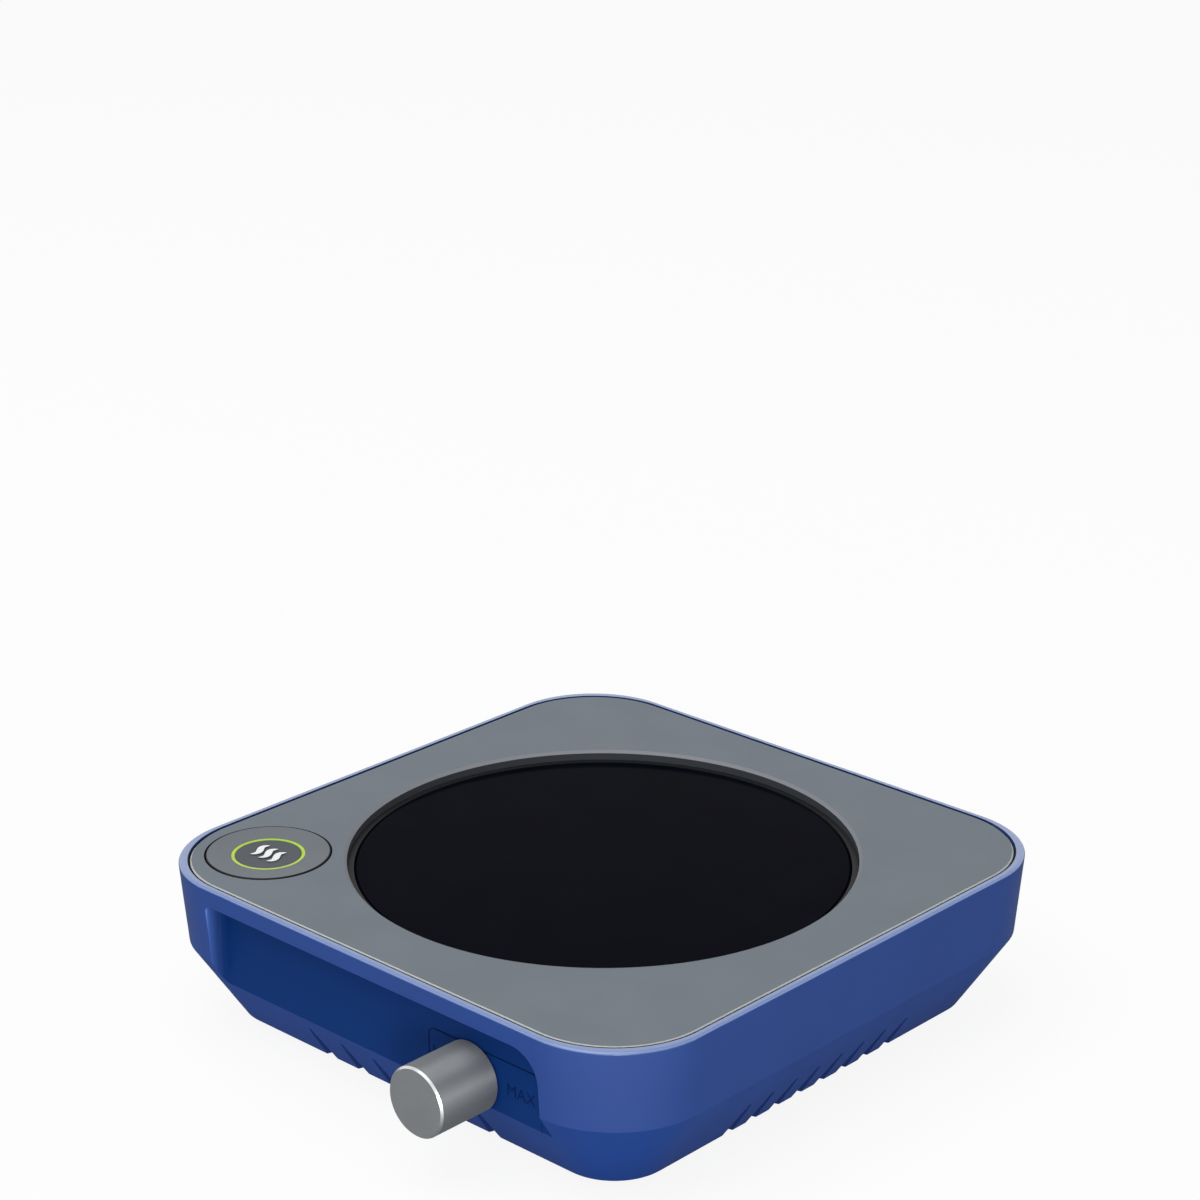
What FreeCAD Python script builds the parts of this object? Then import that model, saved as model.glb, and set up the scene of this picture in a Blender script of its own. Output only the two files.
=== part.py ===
import FreeCAD, Part
import math
import os
from FreeCAD import Vector

# Flat magnetic stirrer with a round hot plate, a heat button and a speed knob.
# Lengths are in millimetres. X runs along the knob face, Y runs to the rear, Z is up.
# Heights inside the case are written as depths below the top surface.

# Fits shared by the pieces, and the overrun of a cut past a face
press_gap = 0.02
running_gap = 0.05
seat_gap = 0.1
slide_gap = 0.25
overcut = 1.0

# Outline of the case, a rounded square that narrows twice on its way down
rim_half_side = 57.9
rim_corner_radius = 18.0
rim_edge_radius = 0.5
wall_draft = 1.0
waist_depth = 14.7
waist_corner_loss = 0.25
skirt_run_in = 8.8
base_corner_loss = 7.85
wall_thickness = 2.6
floor_lip_thickness = 1.6

# Top panel and the well that holds the hot plate
panel_inset = 1.4
panel_corner_loss = 0.3
panel_thickness = 2.0
panel_seam = 0.2
panel_edge_bevel = 0.25
plate_land = 2.94
opening_bevel = 0.5
collar_wall = 2.2
flange_lap = 1.2
flange_thickness = 1.6

# Hot plate, seal, heater and heat shield
plate_recess = 1.8
plate_thickness = 3.0
plate_edge_bevel = 0.4
gasket_width = 1.1
gasket_lip = 1.0
foil_thickness = 0.8
insulation_thickness = 3.0
dish_lap = 3.0
shield_sheet = 0.8
shield_edge_gap = 0.7
plate_boss_radius = 3.4
plate_screw_inset = 4.8

# Temperature sensor and thermal cut-out
sensor_angle = 60
sensor_radius = 1.5
sensor_sink = 1.6
sensor_tail = 1.5
sensor_collar_radius = 2.4
sensor_collar_height = 0.8
cutout_angle = 100
cutout_radius = 5.0
cutout_height = 3.6
cutout_tab_reach = 3.0
cutout_tab_width = 3.0
cutout_tab_thickness = 0.6
cutout_tab_drop = 2.0

# Magnet rotor
magnet_gap = 1.2
magnet_radius = 6.5
magnet_height = 4.0
magnet_spacing = 34.0
yoke_thickness = 2.0
yoke_rim = 0.7
hub_radius = 4.0
hub_length = 1.4
hub_gap = 0.4
shaft_radius = 1.25
shaft_end_gap = 0.3

# Flat motor and its bracket
bracket_thickness = 1.2
bracket_arm_width = 9.0
bracket_hub_margin = 3.5
bracket_post_gap = 4.8
post_angles = (30, 150, 270)
motor_radius = 15.0
motor_height = 6.6
motor_edge_bevel = 0.8
motor_pilot_radius = 5.0
motor_pilot_height = 0.6
motor_shaft_gap = 0.4
motor_screw_circle = 9.0
motor_screw_angles = (90, 210, 330)
bearing_radius = 3.0
bearing_height = 2.0
motor_clearance = 0.5

# Base cover, feet and vent slots
cover_thickness = 2.0
cover_margin = 4.9
cover_corner_radius = 3.0
cover_lap = 2.2
opening_corner_radius = 16.0
post_radius = 3.2
post_inset = 8.6
boss_cap = 0.8
foot_radius = 5.0
foot_drop = 2.0
foot_sink = 1.0
foot_bevel = 0.6
foot_inset = 10.2
slot_width = 1.8
slot_length = 16.0
slot_pitch = 4.0
slot_count = 5
slot_motor_gap = 5.0
slot_foot_gap = 5.1

# Control recess in the front wall, with a fine engraved frame round the knob
recess_setback = 3.9
recess_left_margin = 18.2
recess_right_margin = 18.4
recess_top = 3.5
recess_left_radius = 2.0
recess_right_radius = 5.5
recess_roll_radius = 0.6
recess_root_radius = 1.2
frame_left_reach = 10.1
frame_right_reach = 15.7
frame_top_reach = 5.4
frame_corner_radius = 1.5
frame_line = 0.3
frame_depth = 0.2

# Speed knob
knob_inset = 18.0
knob_depth = 14.8
knob_radius = 6.15
knob_length = 12.4
knob_standoff = 0.4
knob_edge_bevel = 0.35
knob_nut_gap = 0.5
knob_screw_reach = 3.2
knob_screw_sink = 0.4
knob_screw_socket_radius = 0.5
knob_screw_socket_depth = 1.0

# Potentiometer behind the front wall
pot_half_width = 4.8
pot_body_depth = 5.6
pot_seat_gap = 1.0
pot_back_wall = 1.0
pot_bushing_radius = 3.0
pot_bushing_reach = 3.0
pot_shaft_radius = 2.0
pot_shaft_reach = 7.0
pot_shaft_end_gap = 1.0
pot_pin_pitch = 2.5
pot_pin_width = 0.8
pot_pin_thickness = 0.6
pot_pin_length = 3.0
pot_pin_drop = 3.0
nut_wall = 1.0
nut_thickness = 2.0
washer_lap = 0.5
washer_thickness = 0.5

# Heat button in the front left corner of the panel
button_inset_x = 14.1
button_inset_y = 15.7
button_radius = 10.9
button_gap = 0.35
button_edge_bevel = 0.15
button_rise = 0.15
button_dish = 0.6
button_travel = 0.6
button_top_thickness = 1.4
button_skirt = 1.2
button_boss_wall = 1.2
button_boss_depth = 5.0
lug_lap = 0.5
lug_height = 1.1
lug_width = 3.0
lug_angles = (75, 195, 315)
dish_steps = 5

# Light ring and centre disc of the button
light_ring_radius = 6.2
light_ring_width = 0.56
light_ring_gap = 0.12
light_flange_thickness = 0.8
light_flange_outer_lap = 1.5
light_flange_inner_lap = 1.2
pusher_margin = 0.3
lamp_angles = (45, 135, 225, 315)
lamp_length = 2.0
lamp_width = 1.6
lamp_height = 1.2
lamp_gap = 0.4

# Push switch and its board
switch_half_side = 3.0
switch_height = 3.9
stem_radius = 1.7
stem_rise = 1.3
stem_sunk = 0.5
stem_end_gap = 0.4
board_thickness = 1.2
pillar_radius = 2.2
pillar_gap = 0.15
board_edge_margin = 3.5
board_pillar_margin = 0.6

# Vent louvres on the lower slope of the case
louvre_top = 22.2
louvre_depth = 1.1
louvre_top_depth = 0.35
louvre_lean = 0.35
louvre_run = 2.6
louvre_shift = -0.5
louvre_overrun = 0.25
side_louvre_count = 8
side_louvre_pitch = 5.9
front_louvre_count = 6
front_louvre_pitch = 7.9

# Power inlet in the rear wall
inlet_corner_gap = 1.9
inlet_depth = 9.0
inlet_half_width = 8.0
inlet_half_height = 5.0
inlet_flange = 1.0
inlet_wall = 2.2
inlet_barrel_radius = 4.4
inlet_barrel_length = 12.0
inlet_socket_radius = 2.8
inlet_socket_depth = 9.0
inlet_pin_radius = 1.0
inlet_nut_wall = 1.2
inlet_nut_thickness = 2.0
inlet_tag_offset = 2.2
inlet_tag_width = 1.6
inlet_tag_thickness = 0.6
inlet_tag_length = 4.0

# Main board on the base cover, between the motor and the rear wall
main_board_length = 58.0
main_board_lift = 3.0
board_motor_gap = 5.0
board_wall_gap = 1.0
board_corner_inset = 3.0
standoff_radius = 2.5

# What stands on the main board
capacitor_radius = 4.0
capacitor_height = 8.0
capacitor_bevel = 0.5
capacitor_pitch = 9.0
capacitor_count = 2
heat_sink_length = 18.0
heat_sink_height = 8.0
heat_sink_base = 2.0
fin_reach = 4.0
fin_thickness = 1.0
fin_count = 6
transistor_width = 6.0
transistor_thickness = 2.2
transistor_height = 7.5
transistor_margin = 1.5
connector_length = 9.0
connector_width = 4.0
connector_height = 4.0
connector_wall = 0.8
connector_floor = 1.0
connector_pitch = 13.0
connector_count = 3
chip_side = 6.0
chip_height = 1.0
board_part_gap = 2.0
board_rear_gap = 0.5

# Inner leads and their bends
lead_radius = 0.6
thin_lead_radius = 0.5
jacket_radius = 0.9
lead_bend = 2.0
thin_lead_bend = 1.0
lead_hole_gap = 0.3
header_lead_spread = 1.5
thin_lead_spread = 1.2

# Heights and runs of the leads under the heat shield
heater_lead_angle = 70
heater_lead_depth = 13.0
heater_lead_bend = 1.4
heater_tab_run = 5.4
sensor_lead_depth = 15.0
cutout_lead_offset = 2.9
motor_lead_gap = 0.4
inlet_lead_gap = 0.8
inlet_lead_run = 2.2
board_end_inset = 2.5
solder_shift = 1.0
solder_gap = 0.5

# Leads along both sides of the base cover
side_lead_inset = 2.8
side_lead_floor_gap = 0.4
side_lead_front = 26.0
side_lead_rise_depth = 19.0
pot_lead_run = 3.3
button_lead_inset_x = 21.9
button_lead_inset_y = 23.9

# Screw sizes, and the proportions of their heads to the shank
screw_radius = 1.5
small_screw_radius = 1.0
case_screw_length = 10.0
plate_screw_length = 4.0
bracket_screw_length = 5.0
motor_screw_length = 3.4
main_board_screw_length = 3.8
button_screw_length = 4.0
thread_spare = 0.8
pan_head_width = 1.85
pan_head_height = 1.2
pan_head_edge = 0.6
pan_head_crown = 0.7
flat_head_width = 2.0
socket_width = 0.6
socket_depth = 0.7

# Outline levels and corners, from the rim down
waist_half_side = rim_half_side - wall_draft
base_half_side = waist_half_side - skirt_run_in
waist_corner_radius = rim_corner_radius - waist_corner_loss
base_corner_radius = waist_corner_radius - base_corner_loss
seam_half_side = rim_half_side - panel_inset
panel_corner_radius = rim_corner_radius - panel_corner_loss

# Place of the heat button, and the plate opening that leaves a land beside it
button_x = button_inset_x - seam_half_side
button_y = button_inset_y - seam_half_side
button_guide_radius = button_radius + button_gap + button_boss_wall
pillar_offset = button_guide_radius + pillar_radius + pillar_gap
plate_opening_radius = math.hypot(button_x, button_y) - button_radius - plate_land

# Radii that follow the plate opening
collar_radius = plate_opening_radius + collar_wall
plate_radius = plate_opening_radius - gasket_width - 2 * seat_gap
flange_radius = plate_radius - flange_lap
dish_radius = flange_radius - dish_lap
foil_radius = dish_radius - seat_gap - shield_sheet
shield_radius = collar_radius - shield_edge_gap
plate_screw_circle = foil_radius - plate_screw_inset
rotor_radius = magnet_spacing / 2 + magnet_radius + yoke_rim
bracket_post_circle = rotor_radius + bracket_post_gap

# Depths of the stack, from the hot plate down to the underside of the feet
plate_bottom = plate_recess + plate_thickness
flange_top = plate_bottom + gasket_lip
flange_bottom = flange_top + flange_thickness
foil_bottom = plate_bottom + foil_thickness
insulation_bottom = foil_bottom + insulation_thickness
shield_bottom = insulation_bottom + shield_sheet
magnet_top = shield_bottom + magnet_gap
magnet_bottom = magnet_top + magnet_height
yoke_bottom = magnet_bottom + yoke_thickness
hub_bottom = yoke_bottom + hub_length
bracket_top = hub_bottom + hub_gap
bracket_bottom = bracket_top + bracket_thickness
pilot_top = bracket_bottom - motor_pilot_height
motor_bottom = bracket_bottom + motor_height
cover_inside = motor_bottom + motor_clearance
case_height = cover_inside + cover_thickness
floor_inside = cover_inside - floor_lip_thickness
foot_bottom = case_height + foot_drop

# Places on the base cover
post_place = base_half_side - post_inset
cover_half_side = base_half_side - cover_margin
opening_half_side = cover_half_side - cover_lap
foot_place = cover_half_side - foot_inset
slot_x = motor_radius + slot_motor_gap + slot_length / 2
slot_span = slot_pitch * (slot_count - 1) + slot_width
slot_y = foot_radius + slot_foot_gap + slot_span / 2 - foot_place
thread_top = case_height - case_screw_length - thread_spare

# Main board between the motor and the rear wall
main_board_front = motor_radius + board_motor_gap
main_board_rear = opening_half_side - board_wall_gap
main_board_top = cover_inside - main_board_lift - board_thickness
standoff_top = main_board_top + board_thickness
corner_x = main_board_length / 2 - board_corner_inset
screw_room = board_corner_inset + pan_head_width * small_screw_radius + solder_gap
header_floor = main_board_top - connector_floor
inlet_lead_depth = main_board_top - capacitor_height - inlet_lead_gap - lead_radius
board_end_x = main_board_length / 2 - board_end_inset

# Depths of the leads at the cut-out tabs and on the base cover
tab_middle = shield_bottom + cutout_tab_drop + cutout_tab_thickness / 2
side_lead_depth = cover_inside - jacket_radius - side_lead_floor_gap

# Control recess, knob and potentiometer
recess_face = rim_half_side - recess_setback
recess_left = recess_left_margin - rim_half_side
recess_right = rim_half_side - recess_right_margin
recess_reach = recess_setback + 2 * wall_thickness
wall_back = recess_face - wall_thickness
knob_x = recess_right - knob_inset
knob_front = recess_face + knob_standoff + knob_length
bushing_front = recess_face + pot_bushing_reach
pot_shaft_front = bushing_front + pot_shaft_reach
pot_back = wall_back - pot_body_depth
nut_half_flat = pot_bushing_radius + nut_wall
knob_hollow_radius = nut_half_flat / math.cos(math.pi / 6) + knob_nut_gap

# Depths of the button stack
button_underside = button_dish + button_top_thickness
lug_top = button_boss_depth + running_gap
lug_bottom = lug_top + lug_height
light_flange_bottom = button_underside + light_flange_thickness
switch_top = light_flange_bottom + stem_rise + button_travel
button_board_top = switch_top + switch_height
button_board_bottom = button_board_top + board_thickness
light_guide_bottom = button_board_top - lamp_height - lamp_gap - button_travel

# The power inlet ends where the rear corner begins
inlet_x = inlet_half_width + inlet_corner_gap - rim_half_side + rim_corner_radius

# The origin lies under the middle of the footprint, knob included
axis_y = (knob_front - rim_half_side) / 2


def level(depth):
    """Height above the bench of a depth below the top surface."""
    return foot_bottom - depth


def fused(shapes):
    """One clean solid from pieces that overlap or share faces."""
    return shapes[0].multiFuse(shapes[1:]).removeSplitter()


def group(shapes):
    """Several separate solids that share one node."""
    return Part.makeCompound(shapes)


def lead(points, radius, bend=lead_bend):
    """Round lead with straight runs between points of x, y and depth, and arcs at its corners."""
    corners = [Vector(x, y, level(depth)) for x, y, depth in points]
    edges = []
    start = corners[0]
    for before, corner, after in zip(corners, corners[1:], corners[2:]):
        way_in = (corner - before).normalize()
        way_out = (after - corner).normalize()
        half_turn = way_in.getAngle(way_out) / 2
        reach = bend * math.tan(half_turn)
        arc_start = corner - way_in * reach
        arc_end = corner + way_out * reach
        bulge = corner + (way_out - way_in).normalize() * bend * (1 / math.cos(half_turn) - 1)
        edges.append(Part.LineSegment(start, arc_start).toShape())
        edges.append(Part.Arc(arc_start, bulge, arc_end).toShape())
        start = arc_end
    edges.append(Part.LineSegment(start, corners[-1]).toShape())
    section = Part.Wire([Part.makeCircle(radius, corners[0], corners[1] - corners[0])])
    return Part.Wire(edges).makePipeShell([section], True, True)


def rounded_square(half_side, radius, depth):
    """Closed outline of a square with round corners."""
    straight = half_side - radius
    middle = straight + radius * math.sqrt(0.5)
    z = level(depth)
    edges = []
    for quarter in range(4):
        turn = FreeCAD.Rotation(Vector(0, 0, 1), 90 * quarter)
        side_start = turn.multVec(Vector(half_side, -straight, z))
        side_end = turn.multVec(Vector(half_side, straight, z))
        corner = turn.multVec(Vector(middle, middle, z))
        arc_end = turn.multVec(Vector(straight, half_side, z))
        edges.append(Part.makeLine(side_start, side_end))
        edges.append(Part.Arc(side_end, corner, arc_end).toShape())
    return Part.Wire(edges)


def slab(half_side, radius, top, bottom):
    """Upright prism on a rounded square."""
    outline = rounded_square(half_side, radius, bottom)
    return Part.Face(outline).extrude(Vector(0, 0, bottom - top))


def disc(radius, top, bottom, x=0, y=0):
    """Upright cylinder between two depths."""
    return Part.makeCylinder(radius, bottom - top, Vector(x, y, level(bottom)))


def discs(radius, top, bottom, places):
    """One upright cylinder at each place."""
    return [disc(radius, top, bottom, x, y) for x, y in places]


def ring(outer, inner, top, bottom, x=0, y=0):
    """Upright tube between two depths."""
    return disc(outer, top, bottom, x, y).cut(disc(inner, top, bottom, x, y))


def block(x_low, x_high, y_low, y_high, top, bottom):
    """Upright box between two depths."""
    corner = Vector(x_low, y_low, level(bottom))
    return Part.makeBox(x_high - x_low, y_high - y_low, bottom - top, corner)


def centred_block(x, y, length, width, top, bottom):
    """Upright box round a place."""
    return block(x - length / 2, x + length / 2, y - width / 2, y + width / 2, top, bottom)


def bar(length, width, top, bottom, x=0, y=0):
    """Upright prism with round ends, long side along X."""
    reach = (length - width) / 2
    middle = centred_block(x, y, 2 * reach, width, top, bottom)
    ends = discs(width / 2, top, bottom, [(x - reach, y), (x + reach, y)])
    return fused([middle] + ends)


def revolved(profile, x=0, y=0):
    """Solid of revolution from points of radius and depth, round an upright axis."""
    points = [Vector(x + radius, y, level(depth)) for radius, depth in profile]
    face = Part.Face(Part.makePolygon(points + points[:1]))
    return face.revolve(Vector(x, y, 0), Vector(0, 0, 1), 360)


def along_y(radius, start, length, x, depth):
    """Cylinder that runs from start towards the rear."""
    return Part.makeCylinder(radius, length, Vector(x, start, level(depth)), Vector(0, 1, 0))


def turned(shape, angle):
    """Copy of a shape turned about the upright axis of the hot plate."""
    copy = shape.copy()
    copy.rotate(Vector(0, 0, 0), Vector(0, 0, 1), angle)
    return copy


def on_circle(radius, angle):
    """Point at an angle on a circle round the stirring axis."""
    return radius * math.cos(math.radians(angle)), radius * math.sin(math.radians(angle))


def hexagon(half_flat, start, length, x, depth):
    """Hexagonal prism along Y."""
    corner = half_flat / math.cos(math.pi / 6)
    points = []
    for side in range(7):
        across, up = on_circle(corner, 60 * side)
        points.append(Vector(x + across, start, level(depth) + up))
    return Part.Face(Part.makePolygon(points)).extrude(Vector(0, length, 0))


def screw_up(x, y, seat, length, radius):
    """Pan head screw whose shank points up from its seat."""
    head_radius = pan_head_width * radius
    head_height = pan_head_height * radius
    head = revolved([
        (0, seat),
        (head_radius, seat),
        (head_radius, seat + pan_head_edge * head_height),
        (pan_head_crown * head_radius, seat + head_height),
        (0, seat + head_height),
    ], x, y)
    shank = disc(radius, seat - length, seat, x, y)
    socket = disc(socket_width * radius, seat + (1 - socket_depth) * head_height, seat + head_height, x, y)
    return fused([head, shank]).cut(socket)


def screw_down(x, y, seat, length, radius):
    """Pan head screw whose shank points down from its seat."""
    screw = screw_up(x, y, seat, length, radius)
    screw.rotate(Vector(x, y, level(seat)), Vector(1, 0, 0), 180)
    return screw


def countersunk_screw(x, y, face, length, radius):
    """Flat head screw, its head flush with a face that looks down."""
    shape = revolved([
        (0, face),
        (flat_head_width * radius, face),
        (radius, face - radius),
        (radius, face - length),
        (0, face - length),
    ], x, y)
    return shape.cut(disc(socket_width * radius, face - socket_depth * radius, face, x, y))


def outer_section(depth):
    """Half side and corner radius of the case at a depth."""
    if depth <= waist_depth:
        share = depth / waist_depth
        upper = (rim_half_side, rim_corner_radius)
        lower = (waist_half_side, waist_corner_radius)
    else:
        share = (depth - waist_depth) / (case_height - waist_depth)
        upper = (waist_half_side, waist_corner_radius)
        lower = (base_half_side, base_corner_radius)
    half_side = upper[0] + share * (lower[0] - upper[0])
    radius = upper[1] + share * (lower[1] - upper[1])
    return half_side, radius


def case_form(inset, top, bottom):
    """Solid with the outline of the case, drawn in by an inset."""
    outlines = []
    for depth in (top, waist_depth, bottom):
        half_side, radius = outer_section(depth)
        outlines.append(rounded_square(half_side - inset, radius - inset, depth))
    upper = Part.makeLoft([outlines[1], outlines[0]], True, True)
    lower = Part.makeLoft([outlines[2], outlines[1]], True, True)
    return fused([upper, lower])


def corner_arc(x, z, radius, side):
    """Upper corner of an outline in the XZ plane, left side -1 or right side 1."""
    middle = radius * math.sqrt(0.5)
    start = Vector(x + side * radius, 0, z)
    bulge = Vector(x + side * middle, 0, z + middle)
    end = Vector(x, 0, z + radius)
    if side > 0:
        start, end = end, start
    return Part.Arc(start, bulge, end).toShape()


def round_topped_face(left, right, top_depth, left_radius, right_radius):
    """Face in the XZ plane with two round upper corners, open to below the case."""
    top = level(top_depth)
    bottom = level(case_height + overcut)
    edges = [
        Part.makeLine(Vector(left, 0, bottom), Vector(left, 0, top - left_radius)),
        corner_arc(left + left_radius, top - left_radius, left_radius, -1),
        Part.makeLine(Vector(left + left_radius, 0, top), Vector(right - right_radius, 0, top)),
        corner_arc(right - right_radius, top - right_radius, right_radius, 1),
        Part.makeLine(Vector(right, 0, top - right_radius), Vector(right, 0, bottom)),
        Part.makeLine(Vector(right, 0, bottom), Vector(left, 0, bottom)),
    ]
    return Part.Face(Part.Wire(edges))


def recess_prism(grow, face, left_reach=0):
    """Control recess from a plane behind the front wall outwards, grown by a margin."""
    outline = round_topped_face(
        recess_left - grow - left_reach, recess_right + grow, recess_top - grow,
        recess_left_radius + grow, recess_right_radius + grow,
    )
    outline.translate(Vector(0, -face, 0))
    return outline.extrude(Vector(0, -recess_reach, 0))


def recess_plan():
    """Control recess seen from above, its left end with a rounded edge and a rounded root."""
    outer = -outer_section(recess_top)[0]
    middle = recess_roll_radius * math.sqrt(0.5)
    roll_start = Vector(recess_left - recess_roll_radius, outer, 0)
    roll_end = Vector(recess_left, outer + recess_roll_radius, 0)
    roll_bulge = Vector(roll_start.x + middle, roll_end.y - middle, 0)
    root_start = Vector(recess_left, -recess_face - recess_root_radius, 0)
    root_end = Vector(recess_left + recess_root_radius, -recess_face, 0)
    root_sag = recess_root_radius * math.sqrt(0.5)
    root_bulge = Vector(root_end.x - root_sag, root_start.y + root_sag, 0)
    corners = [
        root_end,
        Vector(recess_right, -recess_face, 0),
        Vector(recess_right, outer - wall_thickness, 0),
        Vector(roll_start.x, outer - wall_thickness, 0),
        roll_start,
    ]
    edges = [
        Part.Arc(roll_start, roll_bulge, roll_end).toShape(),
        Part.makeLine(roll_end, root_start),
        Part.Arc(root_start, root_bulge, root_end).toShape(),
    ]
    edges += [Part.makeLine(start, end) for start, end in zip(corners, corners[1:])]
    return Part.Face(Part.Wire(edges)).extrude(Vector(0, 0, foot_bottom))


def control_recess():
    """Shape that is cut from the front wall round the speed knob."""
    return recess_prism(0, recess_face, recess_roll_radius).common(recess_plan())


def engraved_frame():
    """Fine groove round the knob on the face of the control recess."""
    left = knob_x - frame_left_reach
    right = knob_x + frame_right_reach
    top = knob_depth - frame_top_reach
    outer = round_topped_face(left, right, top, frame_corner_radius, frame_corner_radius)
    inner = round_topped_face(
        left + frame_line, right - frame_line, top + frame_line,
        frame_corner_radius - frame_line, frame_corner_radius - frame_line,
    )
    groove = outer.cut(inner).extrude(Vector(0, frame_depth, 0))
    groove.translate(Vector(0, -recess_face, 0))
    return groove


def louvre_cut(outward, along, place):
    """Wedge that leaves one vent louvre: a short wall and a long ramp that meet in a notch."""
    top_half = outer_section(louvre_top)[0]
    apex = outward * (top_half - louvre_top_depth) + along * place + Vector(0, 0, level(louvre_top))
    notch = outward * (base_half_side - louvre_depth) + along * (place + louvre_lean)
    notch = notch + Vector(0, 0, level(case_height))
    edge_way = apex - notch
    start = notch - edge_way * louvre_overrun
    wall_way = outward * louvre_depth - along * louvre_lean
    ramp_way = outward * louvre_depth + along * (louvre_run - louvre_lean)
    reach = skirt_run_in / louvre_depth
    corners = [start, start + wall_way * reach, start + ramp_way * reach, start]
    return Part.Face(Part.makePolygon(corners)).extrude(edge_way * (1 + louvre_overrun))


def louvre_row(outward, along, count, pitch):
    """Row of louvre cuts on one side of the case."""
    first = louvre_shift - pitch * (count - 1) / 2
    return [louvre_cut(outward, along, first + pitch * number) for number in range(count)]


def louvre_cuts():
    """Louvres of all four sides, every short wall facing the front right."""
    right = Vector(1, 0, 0)
    front = Vector(0, -1, 0)
    cuts = louvre_row(right, front, side_louvre_count, side_louvre_pitch)
    cuts += louvre_row(right * -1, front, side_louvre_count, side_louvre_pitch)
    cuts += louvre_row(front, right, front_louvre_count, front_louvre_pitch)
    cuts += louvre_row(front * -1, right, front_louvre_count, front_louvre_pitch)
    return cuts


def panel_posts():
    """Places of the three case screws that reach up into the panel."""
    return [(post_place, -post_place), (post_place, post_place), (-post_place, post_place)]


def inlet_pocket_y():
    """Plane of the pocket that the inlet flange sits in."""
    return outer_section(inlet_depth + inlet_half_height)[0] - inlet_flange


def inlet_block(margin, y_low, y_high):
    """Box round the inlet, seen from the rear."""
    return block(
        inlet_x - inlet_half_width - margin, inlet_x + inlet_half_width + margin, y_low, y_high,
        inlet_depth - inlet_half_height - margin, inlet_depth + inlet_half_height + margin,
    )


def case_hollow():
    """Room inside the case, with the seats of the panel and the base cover."""
    panel_seat = slab(seam_half_side, panel_corner_radius, -overcut, panel_thickness)
    cavity = case_form(wall_thickness, panel_thickness, floor_inside)
    cavity = cavity.cut(recess_prism(wall_thickness, wall_back))
    cavity = cavity.cut(inlet_block(wall_thickness, inlet_pocket_y() - inlet_wall, rim_half_side))
    floor_opening = slab(opening_half_side, opening_corner_radius, floor_inside - overcut, case_height)
    cover_pocket = slab(
        cover_half_side + seat_gap, cover_corner_radius, cover_inside, case_height + overcut
    )
    return [panel_seat, cavity, floor_opening, cover_pocket]


def pot_mount_cuts():
    """Seat and hole of the potentiometer in the front wall."""
    half = pot_half_width + pot_seat_gap
    seat = block(knob_x - half, knob_x + half, -wall_back, -pot_back, knob_depth - half, knob_depth + half)
    start = -recess_face - overcut
    hole = along_y(pot_bushing_radius + seat_gap, start, wall_thickness + 2 * overcut, knob_x, knob_depth)
    return [seat, hole]


def inlet_mount_cuts():
    """Pocket and hole of the power inlet in the rear wall."""
    pocket = inlet_block(seat_gap, inlet_pocket_y(), rim_half_side + overcut)
    start = inlet_pocket_y() - inlet_wall - overcut
    hole = along_y(inlet_barrel_radius + seat_gap, start, inlet_wall + 2 * overcut, inlet_x, inlet_depth)
    return [pocket, hole]


def case_shell():
    """Moulded case: drafted walls, sloping louvred skirt, control recess and floor lip."""
    shell = case_form(0, 0, case_height)
    rim_edges = [edge for edge in shell.Edges if edge.BoundBox.ZMin > level(0) - seat_gap]
    shell = shell.makeFillet(rim_edge_radius, rim_edges)
    shell = shell.cut(case_hollow())
    shell = shell.cut([control_recess(), engraved_frame()])
    shell = shell.cut(pot_mount_cuts() + inlet_mount_cuts())

    corner_boss = disc(post_radius, thread_top - boss_cap, cover_inside, -post_place, -post_place)
    shell = fused([shell, corner_boss])
    holes = discs(screw_radius + seat_gap, floor_inside - overcut, case_height, panel_posts())
    holes.append(disc(screw_radius + running_gap, thread_top, case_height, -post_place, -post_place))
    button_room = disc(button_radius + button_gap, 0, lug_bottom + button_travel, button_x, button_y)
    return shell.cut(holes + louvre_cuts() + [button_room])


def panel_plate():
    """Flat of the top panel, its upper edge bevelled all round."""
    half_side = seam_half_side - panel_seam
    radius = panel_corner_radius - panel_seam
    plate = slab(half_side, radius, panel_edge_bevel, panel_thickness)
    rim = Part.makeLoft([
        rounded_square(half_side, radius, panel_edge_bevel),
        rounded_square(half_side - panel_edge_bevel, radius - panel_edge_bevel, 0),
    ], True, True)
    return fused([plate, rim])


def button_guide():
    """Tube under the panel that guides the heat button, trimmed to the inside of the case."""
    guide = disc(button_guide_radius, panel_edge_bevel, button_boss_depth, button_x, button_y)
    guide = guide.common(case_form(wall_thickness + slide_gap, 0, floor_inside))
    return guide.cut(recess_prism(wall_thickness + slide_gap, wall_back - slide_gap))


def top_panel():
    """Panel with the plate well, screw posts, button guide and button board pillars."""
    well = disc(collar_radius, 0, flange_bottom)
    posts = discs(post_radius, panel_edge_bevel, floor_inside, panel_posts())
    pillars = discs(pillar_radius, panel_edge_bevel, button_board_top, button_pillars())
    panel = fused([panel_plate(), well, button_guide()] + posts + pillars)

    bore = revolved([
        (0, -overcut),
        (plate_opening_radius + opening_bevel, -overcut),
        (plate_opening_radius + opening_bevel, 0),
        (plate_opening_radius, opening_bevel),
        (plate_opening_radius, flange_top),
        (flange_radius, flange_top),
        (flange_radius, flange_bottom + overcut),
        (0, flange_bottom + overcut),
    ])
    button_hole = disc(
        button_radius + button_gap, -overcut, button_boss_depth + overcut, button_x, button_y
    )
    threads = discs(screw_radius + running_gap, thread_top, floor_inside, panel_posts())
    board_thread_top = button_board_bottom - button_screw_length - thread_spare
    threads += discs(small_screw_radius + running_gap, board_thread_top, button_board_top, button_pillars())
    return panel.cut([bore, button_hole] + threads)


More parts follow.
